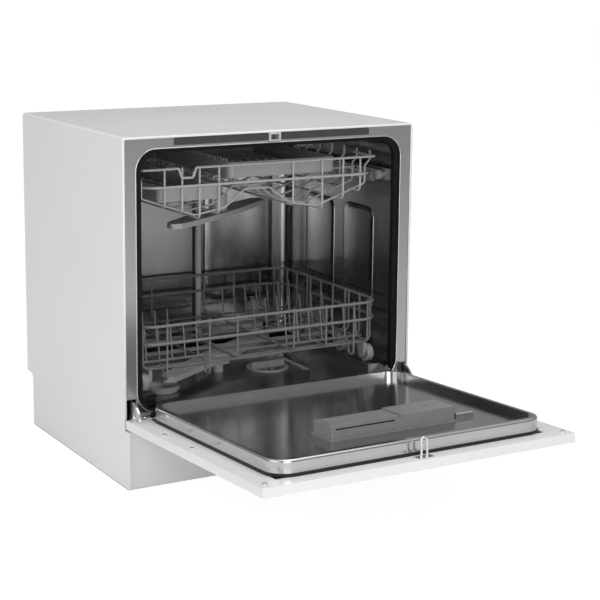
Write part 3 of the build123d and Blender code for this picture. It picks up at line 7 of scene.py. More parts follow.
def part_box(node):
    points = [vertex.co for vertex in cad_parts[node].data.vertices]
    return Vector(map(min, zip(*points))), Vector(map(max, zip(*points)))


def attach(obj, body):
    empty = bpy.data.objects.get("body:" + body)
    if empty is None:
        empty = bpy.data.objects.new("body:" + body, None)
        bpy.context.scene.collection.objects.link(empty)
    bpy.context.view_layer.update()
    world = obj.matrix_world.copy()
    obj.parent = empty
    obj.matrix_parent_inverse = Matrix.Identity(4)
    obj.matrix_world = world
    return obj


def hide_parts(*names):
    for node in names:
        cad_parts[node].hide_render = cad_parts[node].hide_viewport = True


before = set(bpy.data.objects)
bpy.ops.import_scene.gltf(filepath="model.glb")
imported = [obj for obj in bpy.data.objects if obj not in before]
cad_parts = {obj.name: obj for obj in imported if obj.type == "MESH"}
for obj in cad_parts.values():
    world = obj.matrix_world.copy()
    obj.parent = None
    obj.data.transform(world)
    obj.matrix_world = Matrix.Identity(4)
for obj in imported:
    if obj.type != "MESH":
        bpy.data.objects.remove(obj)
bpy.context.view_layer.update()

# ================================================================ camera
# The camera stands where the photographer's stood: left of the machine, a little above its top,
# looking down ten degrees with a long lens. The small shift frames the open door's far corner.
camera_place = Vector((-1.292203, -2.302432, 0.862643))
camera_yaw, camera_pitch, camera_roll = 0.527894, -0.177035, 0.010362
focal_pixels, frame_pixels, shift_pixels = 1601.69, 600.0, 60.0
sensor_width = 36.0
ahead = Vector((math.sin(camera_yaw) * math.cos(camera_pitch), math.cos(camera_yaw) * math.cos(camera_pitch),
                math.sin(camera_pitch)))
level_right = Vector((math.cos(camera_yaw), -math.sin(camera_yaw), 0.0))
level_up = level_right.cross(ahead)
right = level_right * math.cos(camera_roll) + level_up * math.sin(camera_roll)
up = level_up * math.cos(camera_roll) - level_right * math.sin(camera_roll)
camera_data = bpy.data.cameras.new("camera")
camera_data.sensor_width = sensor_width
camera_data.lens = focal_pixels / frame_pixels * sensor_width
camera_data.shift_y = -shift_pixels / frame_pixels
camera_data.clip_start, camera_data.clip_end = 0.05, 60.0
camera = bpy.data.objects.new("camera", camera_data)
turn = Matrix((right, up, -ahead)).transposed().to_4x4()
camera.matrix_world = Matrix.Translation(camera_place) @ turn
bpy.context.collection.objects.link(camera)
bpy.context.scene.camera = camera

# ================================================================ studio
# A pale floor and a white surround, lit by three large soft lamps: on the left, above, and low in
# front. Steel mirrors a greyer room than the white one that the camera sees.
bpy.context.scene.view_settings.view_transform = "Standard"


def new_tree(name):
    """A new material, with its node tree and its shader."""
    material = bpy.data.materials.new(name)
    material.use_nodes = True
    return material, material.node_tree, material.node_tree.nodes["Principled BSDF"]


world = bpy.data.worlds.new("studio_air")
bpy.context.scene.world = world
world.use_nodes = True
air = world.node_tree
air.nodes.clear()
air_out = air.nodes.new("ShaderNodeOutputWorld")
room = air.nodes.new("ShaderNodeBackground")
paper = air.nodes.new("ShaderNodeBackground")
paper.inputs["Color"].default_value = (1, 1, 1, 1)
heading = air.nodes.new("ShaderNodeTexCoord")
height = air.nodes.new("ShaderNodeSeparateXYZ")
room_tone = air.nodes.new("ShaderNodeValToRGB")
room_low, room_high = room_tone.color_ramp.elements
room_low.position, room_low.color = 0.50, (0.13, 0.13, 0.13, 1)
room_high.position, room_high.color = 0.86, (0.62, 0.63, 0.64, 1)
lifted = air.nodes.new("ShaderNodeMapRange")
lifted.inputs["From Min"].default_value = -1.0
rays = air.nodes.new("ShaderNodeLightPath")
choose = air.nodes.new("ShaderNodeMixShader")
air.links.new(heading.outputs["Generated"], height.inputs[0])
air.links.new(height.outputs["Z"], lifted.inputs["Value"])
air.links.new(lifted.outputs[0], room_tone.inputs["Fac"])
air.links.new(room_tone.outputs["Color"], room.inputs["Color"])
air.links.new(rays.outputs["Is Camera Ray"], choose.inputs[0])
air.links.new(room.outputs[0], choose.inputs[1])
air.links.new(paper.outputs[0], choose.inputs[2])
air.links.new(choose.outputs[0], air_out.inputs["Surface"])


def soft_lamp(name, place, target, size, power):
    """A square area lamp aimed at a point."""
    data = bpy.data.lights.new(name, "AREA")
    data.shape = "SQUARE"
    data.size = size
    data.energy = power
    lamp = bpy.data.objects.new(name, data)
    lamp.location = place
    lamp.rotation_euler = (Vector(target) - Vector(place)).to_track_quat("-Z", "Y").to_euler()
    bpy.context.collection.objects.link(lamp)


soft_lamp("lamp_left", (-2.6, -0.7, 1.3), (0, 0, 0.3), size=2.2, power=20)
soft_lamp("lamp_above", (0.2, -0.7, 2.4), (0, -0.1, 0.2), size=1.8, power=22)
soft_lamp("lamp_front_low", (-0.9, -2.9, 0.7), (0, 0, 0.3), size=1.5, power=27)

floor_half, floor_drop = 40.0, 0.0005
floor_corners = [(sx * floor_half, sy * floor_half, -floor_drop)
                 for sx, sy in ((-1, -1), (1, -1), (1, 1), (-1, 1))]
floor_mesh = bpy.data.meshes.new("floor")
floor_mesh.from_pydata(floor_corners, [], [(0, 1, 2, 3)])
floor = bpy.data.objects.new("floor", floor_mesh)
bpy.context.collection.objects.link(floor)
floor_paper, tree, shader = new_tree("floor_paper")
shader.inputs["Base Color"].default_value = (0.86, 0.86, 0.86, 1)
shader.inputs["Roughness"].default_value = 0.85
glow = tree.nodes.new("ShaderNodeEmission")
glow.inputs["Color"].default_value = (1, 1, 1, 1)
glow_strength, glow_share = 1.17, 0.78
glow.inputs["Strength"].default_value = glow_strength
floor_rays = tree.nodes.new("ShaderNodeLightPath")
share = tree.nodes.new("ShaderNodeMath")
share.operation = "MULTIPLY"
share.inputs[1].default_value = glow_share
blend_shader = tree.nodes.new("ShaderNodeMixShader")
tree.links.new(floor_rays.outputs["Is Camera Ray"], share.inputs[0])
tree.links.new(share.outputs[0], blend_shader.inputs[0])
tree.links.new(shader.outputs[0], blend_shader.inputs[1])
tree.links.new(glow.outputs[0], blend_shader.inputs[2])
tree.links.new(blend_shader.outputs[0], tree.nodes["Material Output"].inputs["Surface"])
floor_mesh.materials.append(floor_paper)

# ================================================================ painted cabinet
# Sides and top are one bent steel sheet, with a plinth below and a panel at the rear. Their white
# enamel is baked on, so it is smooth with a very slight orange peel, and duller at the rear.


def finish_of(name, colour, roughness, metal=0.0, vary=0.03, grain=60.0, stretch=(1, 1, 1), bump=0.0,
              bump_grain=900.0, bump_depth=0.0002, rough_vary=0.04, coat=0.0, sheen=0.0, shine=0.5):
    """A finish whose colour, roughness and relief all come from noise on Object coordinates."""
    material, tree, shader = new_tree(name)
    place = tree.nodes.new("ShaderNodeTexCoord")
    scale = tree.nodes.new("ShaderNodeMapping")
    scale.inputs["Scale"].default_value = stretch
    tree.links.new(place.outputs["Object"], scale.inputs["Vector"])
    cloud = tree.nodes.new("ShaderNodeTexNoise")
    cloud.inputs["Scale"].default_value = grain
    cloud.inputs["Detail"].default_value = 4.0
    tree.links.new(scale.outputs[0], cloud.inputs["Vector"])
    tint = tree.nodes.new("ShaderNodeValToRGB")
    tint.color_ramp.elements[0].position = 0.3
    tint.color_ramp.elements[1].position = 0.7
    tint.color_ramp.elements[0].color = [c * (1 - vary) for c in colour] + [1]
    tint.color_ramp.elements[1].color = [min(1, c * (1 + vary)) for c in colour] + [1]
    tree.links.new(cloud.outputs["Fac"], tint.inputs["Fac"])
    tree.links.new(tint.outputs["Color"], shader.inputs["Base Color"])
    gloss = tree.nodes.new("ShaderNodeMapRange")
    gloss.inputs["To Min"].default_value = max(0.02, roughness - rough_vary)
    gloss.inputs["To Max"].default_value = roughness + rough_vary
    tree.links.new(cloud.outputs["Fac"], gloss.inputs["Value"])
    tree.links.new(gloss.outputs[0], shader.inputs["Roughness"])
    shader.inputs["Metallic"].default_value = metal
    shader.inputs["Coat Weight"].default_value = coat
    if coat:
        shader.inputs["Coat Roughness"].default_value = 0.12
    shader.inputs["Sheen Weight"].default_value = sheen
    shader.inputs["Specular IOR Level"].default_value = shine
    if bump:
        fine = tree.nodes.new("ShaderNodeTexNoise")
        fine.inputs["Scale"].default_value = bump_grain
        fine.inputs["Detail"].default_value = 2.0
        tree.links.new(scale.outputs[0], fine.inputs["Vector"])
        relief = tree.nodes.new("ShaderNodeBump")
        relief.inputs["Strength"].default_value = bump
        relief.inputs["Distance"].default_value = bump_depth
        tree.links.new(fine.outputs["Fac"], relief.inputs["Height"])
        tree.links.new(relief.outputs[0], shader.inputs["Normal"])
    return material


def dress(material, *nodes):
    """Puts a finish on CAD nodes."""
    for node in nodes:
        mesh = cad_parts[node].data
        mesh.materials.clear()
        mesh.materials.append(material)


enamel = finish_of("white_enamel", (0.80, 0.80, 0.795), 0.34, vary=0.012, grain=6, bump=0.25, bump_grain=420,
                   bump_depth=0.0001, coat=0.25)
dress(enamel, "outer_wrap", "plinth")
back_enamel = finish_of("rear_enamel", (0.70, 0.70, 0.70), 0.5, vary=0.02, grain=8, bump=0.3, bump_grain=500)
dress(back_enamel, "back_panel")


def piece_from(name, verts, faces, material, body):
    """A smooth finished mesh that rides on a body."""
    mesh = bpy.data.meshes.new(name)
    mesh.from_pydata([tuple(v) for v in verts], [], faces)
    work = bmesh.new()
    work.from_mesh(mesh)
    bmesh.ops.remove_doubles(work, verts=work.verts, dist=1e-7)
    bmesh.ops.recalc_face_normals(work, faces=work.faces)
    work.to_mesh(mesh)
    work.free()
    mesh.materials.append(material)
    for polygon in mesh.polygons:
        polygon.use_smooth = True
    piece = bpy.data.objects.new(name, mesh)
    bpy.context.collection.objects.link(piece)
    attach(piece, body)
    return piece


def swept_bead(path, half_wide, half_deep, sides, closed, out):
    """Rings of a rounded bead along a path: out is the way its section stands off the surface."""
    verts, faces = [], []
    count = len(path)
    for i, point in enumerate(path):
        before = path[(i - 1) % count] if closed or i else point
        after = path[(i + 1) % count] if closed or i < count - 1 else point
        along = (Vector(after) - Vector(before)).normalized()
        side = along.cross(Vector(out)).normalized()
        for k in range(sides):
            a = 2 * math.pi * k / sides
            offset = side * (half_wide * math.cos(a)) + Vector(out) * (half_deep * math.sin(a))
            verts.append(Vector(point) + offset)
    rings = count if closed else count - 1
    for i in range(rings):
        j = (i + 1) % count
        for k in range(sides):
            m = (k + 1) % sides
            faces.append((i * sides + k, i * sides + m, j * sides + m, j * sides + k))
    if not closed:
        faces.append(tuple(range(sides)))
        faces.append(tuple((count - 1) * sides + k for k in reversed(range(sides))))
    return verts, faces


def rounded_outline(half_x, z0, z1, radius, y, steps=10):
    """Points round a rectangle in the X-Z plane, from the lower right corner, counter-clockwise."""
    points = []
    for x, z, start in ((half_x, z0, -90), (half_x, z1, 0), (-half_x, z1, 90), (-half_x, z0, 180)):
        cx = x - math.copysign(radius, x)
        cz = z + radius if z == z0 else z - radius
        for k in range(steps + 1):
            a = math.radians(start + 90 * k / steps)
            points.append(Vector((cx + radius * math.cos(a), y, cz + radius * math.sin(a))))
    return points


def arch_path(half_x, foot, middle, top, radius, y, steps):
    """Points up the right side, over the top with rounded corners, and down the left side."""
    path = [Vector((half_x, y, foot)), Vector((half_x, y, middle))]
    for k in range(steps + 1):
        a = math.radians(90 * k / steps)
        path.append(Vector((half_x - radius + radius * math.cos(a), y, top - radius + radius * math.sin(a))))
    return path + [Vector((-p.x, p.y, p.z)) for p in reversed(path)]


# the wrap's front edge is folded back on itself, which leaves a rounded white line
hem_half_width, hem_proud = 0.0019, 0.0009
hem_path = arch_path(half_x=0.2729, foot=0.0985, middle=0.3, top=0.5729, radius=0.0039, y=0.0, steps=8)
verts, faces = swept_bead(hem_path, half_wide=hem_half_width, half_deep=hem_proud, sides=10, closed=False,
                          out=(0, 1, 0))
piece_from("wrap_hem", verts, faces, enamel, "cabinet")

# ================================================================ front frame
# A flat stainless frame fills the gap between the wrap and the tub's mouth. It is brushed along its
# length, and a dark glossy strip is stuck to its upper band on both sides of the catch.
brushed = finish_of("brushed_frame", (0.46, 0.46, 0.455), 0.24, metal=1.0, vary=0.06, grain=900,
                    stretch=(0.03, 1, 1), bump=0.12, bump_grain=1400, bump_depth=0.00004, rough_vary=0.05)
dress(brushed, "front_frame")
trim_gloss = finish_of("dark_trim", (0.035, 0.035, 0.038), 0.16, vary=0.1, grain=30, coat=0.6)
dress(trim_gloss, "trim_strip")

# the mouth's edge is turned outward into a lip, coloured far brighter than the tub's steel: a painted highlight
# along the edge
mouth_half, mouth_foot, mouth_top, mouth_radius, lip_y = 0.2515, 0.1215, 0.5545, 0.0355, 0.0012
lip_points = rounded_outline(mouth_half, mouth_foot, mouth_top, mouth_radius, lip_y)
verts, faces = swept_bead(lip_points, half_wide=0.0009, half_deep=0.0007, sides=8, closed=True, out=(0, 1, 0))
edge_highlight_steel = finish_of("edge_highlight_steel", (0.72, 0.72, 0.71), 0.18, metal=1.0, vary=0.04, grain=120)
piece_from("mouth_lip", verts, faces, edge_highlight_steel, "cabinet")

# ================================================================ tub
# The tub is deep-drawn stainless, with pressed panels that stiffen the walls and the roof, and a
# rounded edge where the walls meet the rear.
# The tub's steel is coloured much darker than the same stainless on the inner door: painted shade for the
# shadowed inside of the tub, on its walls, pressed panels and rear cove.
shaded_tub_steel = finish_of("shaded_tub_steel", (0.34, 0.336, 0.33), 0.19, metal=1.0, vary=0.05, grain=9, rough_vary=0.04)
dress(shaded_tub_steel, "tub")


def ring_faces(levels, ring):
    """Faces between rings of points, each ring stacked on the one before."""
    return [(level * ring + k, level * ring + (k + 1) % ring, (level + 1) * ring + (k + 1) % ring,
             (level + 1) * ring + k) for level in range(levels - 1) for k in range(ring)]


def pressed_panel(name, origin, along, over, out, width, height, rise, radius, slope, material):
    """A raised pad with sloping rounded edges, pressed into a sheet wall."""
    along, over, out = Vector(along), Vector(over), Vector(out)
    verts, steps = [], 8
    levels = [(0.0, 0.0), (0.35, 0.18), (0.65, 0.82), (1.0, 1.0)]
    for inset, lift in levels:
        w, h = width / 2 - inset * slope, height / 2 - inset * slope
        r = max(radius - inset * slope, 0.002)
        for sx, sz, start in ((1, -1, -90), (1, 1, 0), (-1, 1, 90), (-1, -1, 180)):
            for k in range(steps + 1):
                a = math.radians(start + 90 * k / steps)
                u = sx * (w - r) + r * math.cos(a)
                v = sz * (h - r) + r * math.sin(a)
                verts.append(Vector(origin) + along * u + over * v + out * (rise * lift))
    ring = 4 * (steps + 1)
    faces = ring_faces(len(levels), ring)
    faces.append(tuple((len(levels) - 1) * ring + k for k in range(ring)))
    faces.append(tuple(reversed(range(ring))))
    return piece_from(name, verts, faces, material, "cabinet")


wall_x, rear_y, tub_foot, tub_roof, tub_radius = 0.2519, 0.4009, 0.1211, 0.5549, 0.0359
side_panel_z, back_panel_z, rear_sheet_y = 0.315, 0.335, 0.4399
for side, word in ((-1, "left"), (1, "right")):
    for y, tag in ((0.135, "front"), (0.270, "rear")):
        pressed_panel(f"tub_panel_{word}_{tag}", (side * wall_x, y, side_panel_z), (0, 1, 0), (0, 0, 1),
                      (-side, 0, 0), width=0.105, height=0.20, rise=0.0022, radius=0.022, slope=0.010,
                      material=shaded_tub_steel)
for x, tag in ((-0.135, "left"), (0.145, "right")):
    pressed_panel(f"tub_panel_back_{tag}", (x, rear_y, back_panel_z), (1, 0, 0), (0, 0, 1), (0, -1, 0),
                  width=0.150, height=0.270, rise=0.0025, radius=0.028, slope=0.012, material=shaded_tub_steel)
pressed_panel("tub_panel_roof", (0, 0.200, tub_roof), (1, 0, 0), (0, 1, 0), (0, 0, -1),
              width=0.330, height=0.250, rise=0.003, radius=0.03, slope=0.014, material=shaded_tub_steel)

# the cabinet's rear sheet is stiffened in the same way, by one broad, shallow pressing
pressed_panel("rear_swage", (0, rear_sheet_y, back_panel_z), (1, 0, 0), (0, 0, 1), (0, 1, 0),
              width=0.400, height=0.330, rise=0.0011, radius=0.040, slope=0.007, material=back_enamel)

# rounded corner between the walls and the rear
cove_radius, cove_steps, cove_tighten = 0.016, 6, 0.6
verts = []
for k in range(cove_steps + 1):
    a = math.radians(90 * k / cove_steps)
    inset = cove_radius * (1 - math.cos(a))
    depth = rear_y - cove_radius * (1 - math.sin(a))
    verts += rounded_outline(wall_x - inset, tub_foot + inset, tub_roof - inset,
                             tub_radius - inset * cove_tighten, depth)
faces = ring_faces(cove_steps + 1, len(verts) // (cove_steps + 1))
piece_from("tub_rear_cove", verts, faces, shaded_tub_steel, "cabinet")

# ================================================================ door seal
# Black rubber, extruded as a channel with a soft bulb that the inner door presses on. The channel is
# clipped over the top and the sides of the tub's mouth.
seal_black = finish_of("seal_rubber", (0.009, 0.009, 0.009), 0.62, vary=0.2, grain=80, bump=0.3, bump_grain=700,
                       shine=0.1)
dress(seal_black, "door_gasket")
bulb_path = arch_path(half_x=0.2412, foot=0.1395, middle=0.3, top=0.5482, radius=0.0340, y=0.0075, steps=12)
verts, faces = swept_bead(bulb_path, half_wide=0.0009, half_deep=0.0030, sides=12, closed=False, out=(0, 1, 0))
piece_from("seal_bulb", verts, faces, seal_black, "cabinet")

# ================================================================ catch
# The catch is a block moulded in pale plastic and screwed above the tub. Its slot takes the door's
# wire striker.
catch_pale = finish_of("catch_plastic", (0.52, 0.52, 0.51), 0.40, vary=0.06, grain=140, bump=0.3,
                       bump_grain=900)
dress(catch_pale, "latch_catch")

# ================================================================ base and feet
# A tray moulded in black polypropylene carries the machine and its water works. It stands on four
# nylon feet, which are screwed in or out to level it.
base_black = finish_of("base_polypropylene", (0.05, 0.05, 0.053), 0.55, vary=0.15, grain=50, bump=0.4,
                       bump_grain=600)
dress(base_black, "base_tray")
foot_black = finish_of("foot_nylon", (0.035, 0.035, 0.037), 0.5, vary=0.15, grain=90, bump=0.4, bump_grain=800)
dress(foot_black, "feet")


def repeat_tree(name, sizes):
    """An empty geometry tree with named sizes, its input and its output."""
    tree = bpy.data.node_groups.new(name, "GeometryNodeTree")
    tree.interface.new_socket("Geometry", in_out="INPUT", socket_type="NodeSocketGeometry")
    for label, value in sizes.items():
        kind = "NodeSocketInt" if isinstance(value, int) else "NodeSocketFloat"
        kind = "NodeSocketVector" if isinstance(value, tuple) else kind
        tree.interface.new_socket(label, in_out="INPUT", socket_type=kind).default_value = value
    tree.interface.new_socket("Geometry", in_out="OUTPUT", socket_type="NodeSocketGeometry")
    return tree, tree.nodes.new("NodeGroupInput"), tree.nodes.new("NodeGroupOutput")


def close_tree(tree, output, socket, material, smooth=True):
    """Ends a tree: real meshes, their shading and their material."""
    real = tree.nodes.new("GeometryNodeRealizeInstances")
    shade = tree.nodes.new("GeometryNodeSetShadeSmooth")
    shade.inputs["Shade Smooth"].default_value = smooth
    paint = tree.nodes.new("GeometryNodeSetMaterial")
    paint.inputs["Material"].default_value = material
    tree.links.new(socket, real.inputs[0])
    tree.links.new(real.outputs[0], shade.inputs[0])
    tree.links.new(shade.outputs[0], paint.inputs[0])
    tree.links.new(paint.outputs[0], output.inputs[0])


def set_on(tree, points, shape, turn=None):
    """Sets a shape on every point, turned if asked, and gives the socket of the result."""
    place = tree.nodes.new("GeometryNodeInstanceOnPoints")
    tree.links.new(points, place.inputs["Points"])
    tree.links.new(shape, place.inputs["Instance"])
    if turn is not None:
        tree.links.new(turn, place.inputs["Rotation"])
    return place.outputs[0]


def aimed(tree, axis, vector):
    """A rotation that turns one axis of a shape along a vector."""
    aim = tree.nodes.new("FunctionNodeAlignRotationToVector")
    aim.axis = axis
    tree.links.new(vector, aim.inputs["Vector"])
    return aim.outputs[0]


def grown_piece(name, tree, points, sizes, body):
    """Runs a tree on some points and keeps the result as a plain mesh riding on a body."""
    seed = bpy.data.meshes.new(name + "_points")
    seed.from_pydata([tuple(v) for v in points], [], [])
    piece = bpy.data.objects.new(name, seed)
    bpy.context.collection.objects.link(piece)
    modifier = piece.modifiers.new("repeat", "NODES")
    modifier.node_group = tree
    for item in tree.interface.items_tree:
        if item.in_out == "INPUT" and item.name in sizes:
            modifier[item.identifier] = sizes[item.name]
    result = bpy.data.meshes.new_from_object(piece.evaluated_get(bpy.context.evaluated_depsgraph_get()))
    piece.modifiers.clear()
    piece.data = result
    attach(piece, body)
    return piece


def ring_tree(name, material):
    """Blocks in a ring round an axis: the ribs of a foot or a cap, the spokes of a wheel."""
    tree, source, output = repeat_tree(name, {"Count": 8, "Radius": 0.01, "Long": 0.005, "Wide": 0.001,
                                              "Deep": 0.001, "Turn": (0.0, 0.0, 0.0)})
    circle = tree.nodes.new("GeometryNodeMeshCircle")
    tree.links.new(source.outputs["Count"], circle.inputs["Vertices"])
    tree.links.new(source.outputs["Radius"], circle.inputs["Radius"])
    size = tree.nodes.new("ShaderNodeCombineXYZ")
    tree.links.new(source.outputs["Long"], size.inputs[0])
    tree.links.new(source.outputs["Wide"], size.inputs[1])
    tree.links.new(source.outputs["Deep"], size.inputs[2])
    block = tree.nodes.new("GeometryNodeMeshCube")
    tree.links.new(size.outputs[0], block.inputs["Size"])
    where = tree.nodes.new("GeometryNodeInputPosition")
    ring = set_on(tree, circle.outputs[0], block.outputs[0], aimed(tree, "X", where.outputs[0]))
    turned = tree.nodes.new("GeometryNodeTransform")
    tree.links.new(ring, turned.inputs[0])
    tree.links.new(source.outputs["Turn"], turned.inputs["Rotation"])
    close_tree(tree, output, set_on(tree, source.outputs[0], turned.outputs[0]), material, False)
    return tree


# each foot has a ring of grip ribs round its pad
foot_x, foot_rows, foot_middle = 0.215, (0.030, 0.375), 0.0032
foot_places = [(sx * foot_x, y, foot_middle) for sx in (-1, 1) for y in foot_rows]
grown_piece("foot_ribs", ring_tree("foot_rib_ring", foot_black), foot_places,
            {"Count": 24, "Radius": 0.01575, "Long": 0.0008, "Wide": 0.0018, "Deep": 0.005}, "cabinet")

# ================================================================ hinges
# Pressed steel, zinc plated: a bracket with its pin on each side of the base, a balance spring round
# the pin, and an arm in the door whose curved tail reaches into the cabinet.
zinc = finish_of("zinc_plate", (0.66, 0.67, 0.68), 0.26, metal=1.0, vary=0.07, grain=45, bump=0.15,
                 bump_grain=700)
dress(zinc, "hinge_brackets", "hinge_arms")
spring_steel = finish_of("spring_steel", (0.42, 0.42, 0.43), 0.32, metal=1.0, vary=0.1, grain=200)
dress(spring_steel, "hinge_springs")

# ================================================================ water works in the base
# Moulded sump, pumps, heater, valve and hose fittings, none of which shows except the filters, the
# salt cap and the fittings at the rear.
sump_pale = finish_of("sump_plastic", (0.55, 0.55, 0.55), 0.5, vary=0.05, grain=60, bump=0.2, bump_grain=500)
dress(sump_pale, "sump", "salt_container")
pump_dark = finish_of("pump_housing", (0.12, 0.12, 0.125), 0.5, vary=0.15, grain=60, bump=0.3, bump_grain=500)
dress(pump_dark, "circulation_pump", "drain_pump")
heater_steel = finish_of("heater_jacket", (0.5, 0.5, 0.5), 0.4, metal=1.0, vary=0.1, grain=60)
dress(heater_steel, "heater")
fitting_black = finish_of("fitting_plastic", (0.04, 0.04, 0.042), 0.42, vary=0.15, grain=90, bump=0.2,
                          bump_grain=900)
dress(fitting_black, "inlet_valve", "drain_spigot", "cable_gland")
filter_steel = finish_of("filter_steel", (0.55, 0.55, 0.54), 0.3, metal=1.0, vary=0.08, grain=300, bump=0.3,
                         bump_grain=1500)
dress(filter_steel, "filter_plate")
# A near-black finish for holes, a slit and screw recesses that are drawn as thin dark marks: painted shade.
hole_shade = finish_of("hole_shadow", (0.012, 0.012, 0.012), 0.8, vary=0.2, grain=100)

# the filter plate is pierced by fine holes in rows, but not under the arm's post and the filter cup; each hole
# is a thin dark disc laid on the plate, painted shade
plate_middle, plate_top = (0.045, 0.190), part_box("filter_plate")[1][2]
post_place, post_clear, cup_place, cup_clear = (0.0, 0.205), 0.0125, (0.092, 0.185), 0.0400
sieve, source, output = repeat_tree("sieve_holes", {"Wide": 0.1, "Deep": 0.1, "Across": 30, "Along": 20,
                                                    "Hole": 0.0006})
grid = sieve.nodes.new("GeometryNodeMeshGrid")
sieve.links.new(source.outputs["Wide"], grid.inputs["Size X"])
sieve.links.new(source.outputs["Deep"], grid.inputs["Size Y"])
sieve.links.new(source.outputs["Across"], grid.inputs["Vertices X"])
sieve.links.new(source.outputs["Along"], grid.inputs["Vertices Y"])
disc = sieve.nodes.new("GeometryNodeMeshCylinder")
disc.inputs["Vertices"].default_value = 6
disc.inputs["Depth"].default_value = 0.0002
sieve.links.new(source.outputs["Hole"], disc.inputs["Radius"])
where = sieve.nodes.new("GeometryNodeInputPosition")
keep_off = []
for (x, y), clear in ((post_place, post_clear), (cup_place, cup_clear)):
    gap = sieve.nodes.new("ShaderNodeVectorMath")
    gap.operation = "DISTANCE"
    gap.inputs[1].default_value = (x - plate_middle[0], y - plate_middle[1], 0)
    sieve.links.new(where.outputs[0], gap.inputs[0])
    near = sieve.nodes.new("FunctionNodeCompare")
    near.operation = "LESS_THAN"
    near.inputs[1].default_value = clear
    sieve.links.new(gap.outputs["Value"], near.inputs[0])
    keep_off.append(near)
both = sieve.nodes.new("FunctionNodeBooleanMath")
both.operation = "OR"
sieve.links.new(keep_off[0].outputs[0], both.inputs[0])
sieve.links.new(keep_off[1].outputs[0], both.inputs[1])
fewer = sieve.nodes.new("GeometryNodeDeleteGeometry")
sieve.links.new(grid.outputs["Mesh"], fewer.inputs[0])
sieve.links.new(both.outputs[0], fewer.inputs["Selection"])
discs = set_on(sieve, fewer.outputs[0], disc.outputs["Mesh"])
close_tree(sieve, output, set_on(sieve, source.outputs[0], discs), hole_shade, False)
grown_piece("filter_holes", sieve, [(*plate_middle, plate_top)],
            {"Wide": 0.190, "Deep": 0.130, "Across": 64, "Along": 44, "Hole": 0.00075}, "cabinet")

# the salt cap and the filter's rim have ribs for the fingers
filter_grey = finish_of("filter_plastic", (0.33, 0.34, 0.35), 0.45, vary=0.06, grain=120, bump=0.2,
                        bump_grain=900)
dress(filter_grey, "coarse_filter", "salt_cap")
salt_place, salt_rib_z, cup_rib_z = (-0.150, 0.120), 0.1272, 0.1176
cap_ribs = ring_tree("cap_rib_ring", filter_grey)
grown_piece("salt_cap_ribs", cap_ribs, [(*salt_place, salt_rib_z)],
            {"Count": 36, "Radius": 0.0278, "Long": 0.0012, "Wide": 0.0018, "Deep": 0.0050}, "cabinet")
grown_piece("filter_rim_ribs", cap_ribs, [(*cup_place, cup_rib_z)],
            {"Count": 40, "Radius": 0.0378, "Long": 0.0010, "Wide": 0.0018, "Deep": 0.0020}, "coarse_filter")
pipe_grey = finish_of("pipe_plastic", (0.46, 0.47, 0.47), 0.38, vary=0.05, grain=70, bump=0.15, bump_grain=800)
dress(pipe_grey, "feed_pipe", "upper_feed_tube")

# ================================================================ spray arms
# Each arm is two shells of light grey plastic, welded together. It is clipped to a hollow post, which
# feeds it with water and lets it turn.
arm_grey = finish_of("arm_plastic", (0.42, 0.43, 0.43), 0.36, vary=0.05, grain=70, bump=0.15, bump_grain=800)
dress(arm_grey, "lower_spray_arm", "upper_spray_arm")


def hoop_tree(name, material):
    """A smooth ring on each point, facing a given way: a jet's lip, a hub's rim."""
    tree, source, output = repeat_tree(name, {"Radius": 0.003, "Wire": 0.0004, "Turn": (0.0, 0.0, 0.0)})
    line = tree.nodes.new("GeometryNodeCurvePrimitiveCircle")
    line.inputs["Resolution"].default_value = 28
    tree.links.new(source.outputs["Radius"], line.inputs["Radius"])
    section = tree.nodes.new("GeometryNodeCurvePrimitiveCircle")
    section.inputs["Resolution"].default_value = 8
    tree.links.new(source.outputs["Wire"], section.inputs["Radius"])
    tube = tree.nodes.new("GeometryNodeCurveToMesh")
    tree.links.new(line.outputs["Curve"], tube.inputs["Curve"])
    tree.links.new(section.outputs["Curve"], tube.inputs["Profile Curve"])
    turned = tree.nodes.new("GeometryNodeTransform")
    tree.links.new(tube.outputs[0], turned.inputs[0])
    tree.links.new(source.outputs["Turn"], turned.inputs["Rotation"])
    close_tree(tree, output, set_on(tree, source.outputs[0], turned.outputs[0]), material)
    return tree


# each jet has a moulded lip round its hole: upward on the lower arm, downward on the upper one
jet_lips = hoop_tree("jet_lip", arm_grey)
arm_turn, arm_centre = math.radians(35), Vector((*post_place, 0.0))
jet_count, jet_first, jet_stretch, jet_aside = 6, 0.3, 0.62, 0.004
for arm, reach, z in (("lower_spray_arm", 0.195, 0.1501), ("upper_spray_arm", 0.170, 0.4019)):
    jets = []
    for k in range(jet_count):
        along = reach * (jet_first + jet_stretch * k / (jet_count - 1))
        for sign in (-1, 1):
            x, y = sign * along, sign * jet_aside
            jets.append(arm_centre + Vector((x * math.cos(arm_turn) - y * math.sin(arm_turn),
                                             x * math.sin(arm_turn) + y * math.cos(arm_turn), z)))
    grown_piece(arm + "_jets", jet_lips, jets, {"Radius": 0.0026, "Wire": 0.0006}, arm)

# ================================================================ door pan
# The outer door is a shallow steel pan, with its edges folded in towards the inner door. It has the
# same white enamel as the wrap.
dress(enamel, "door_panel")

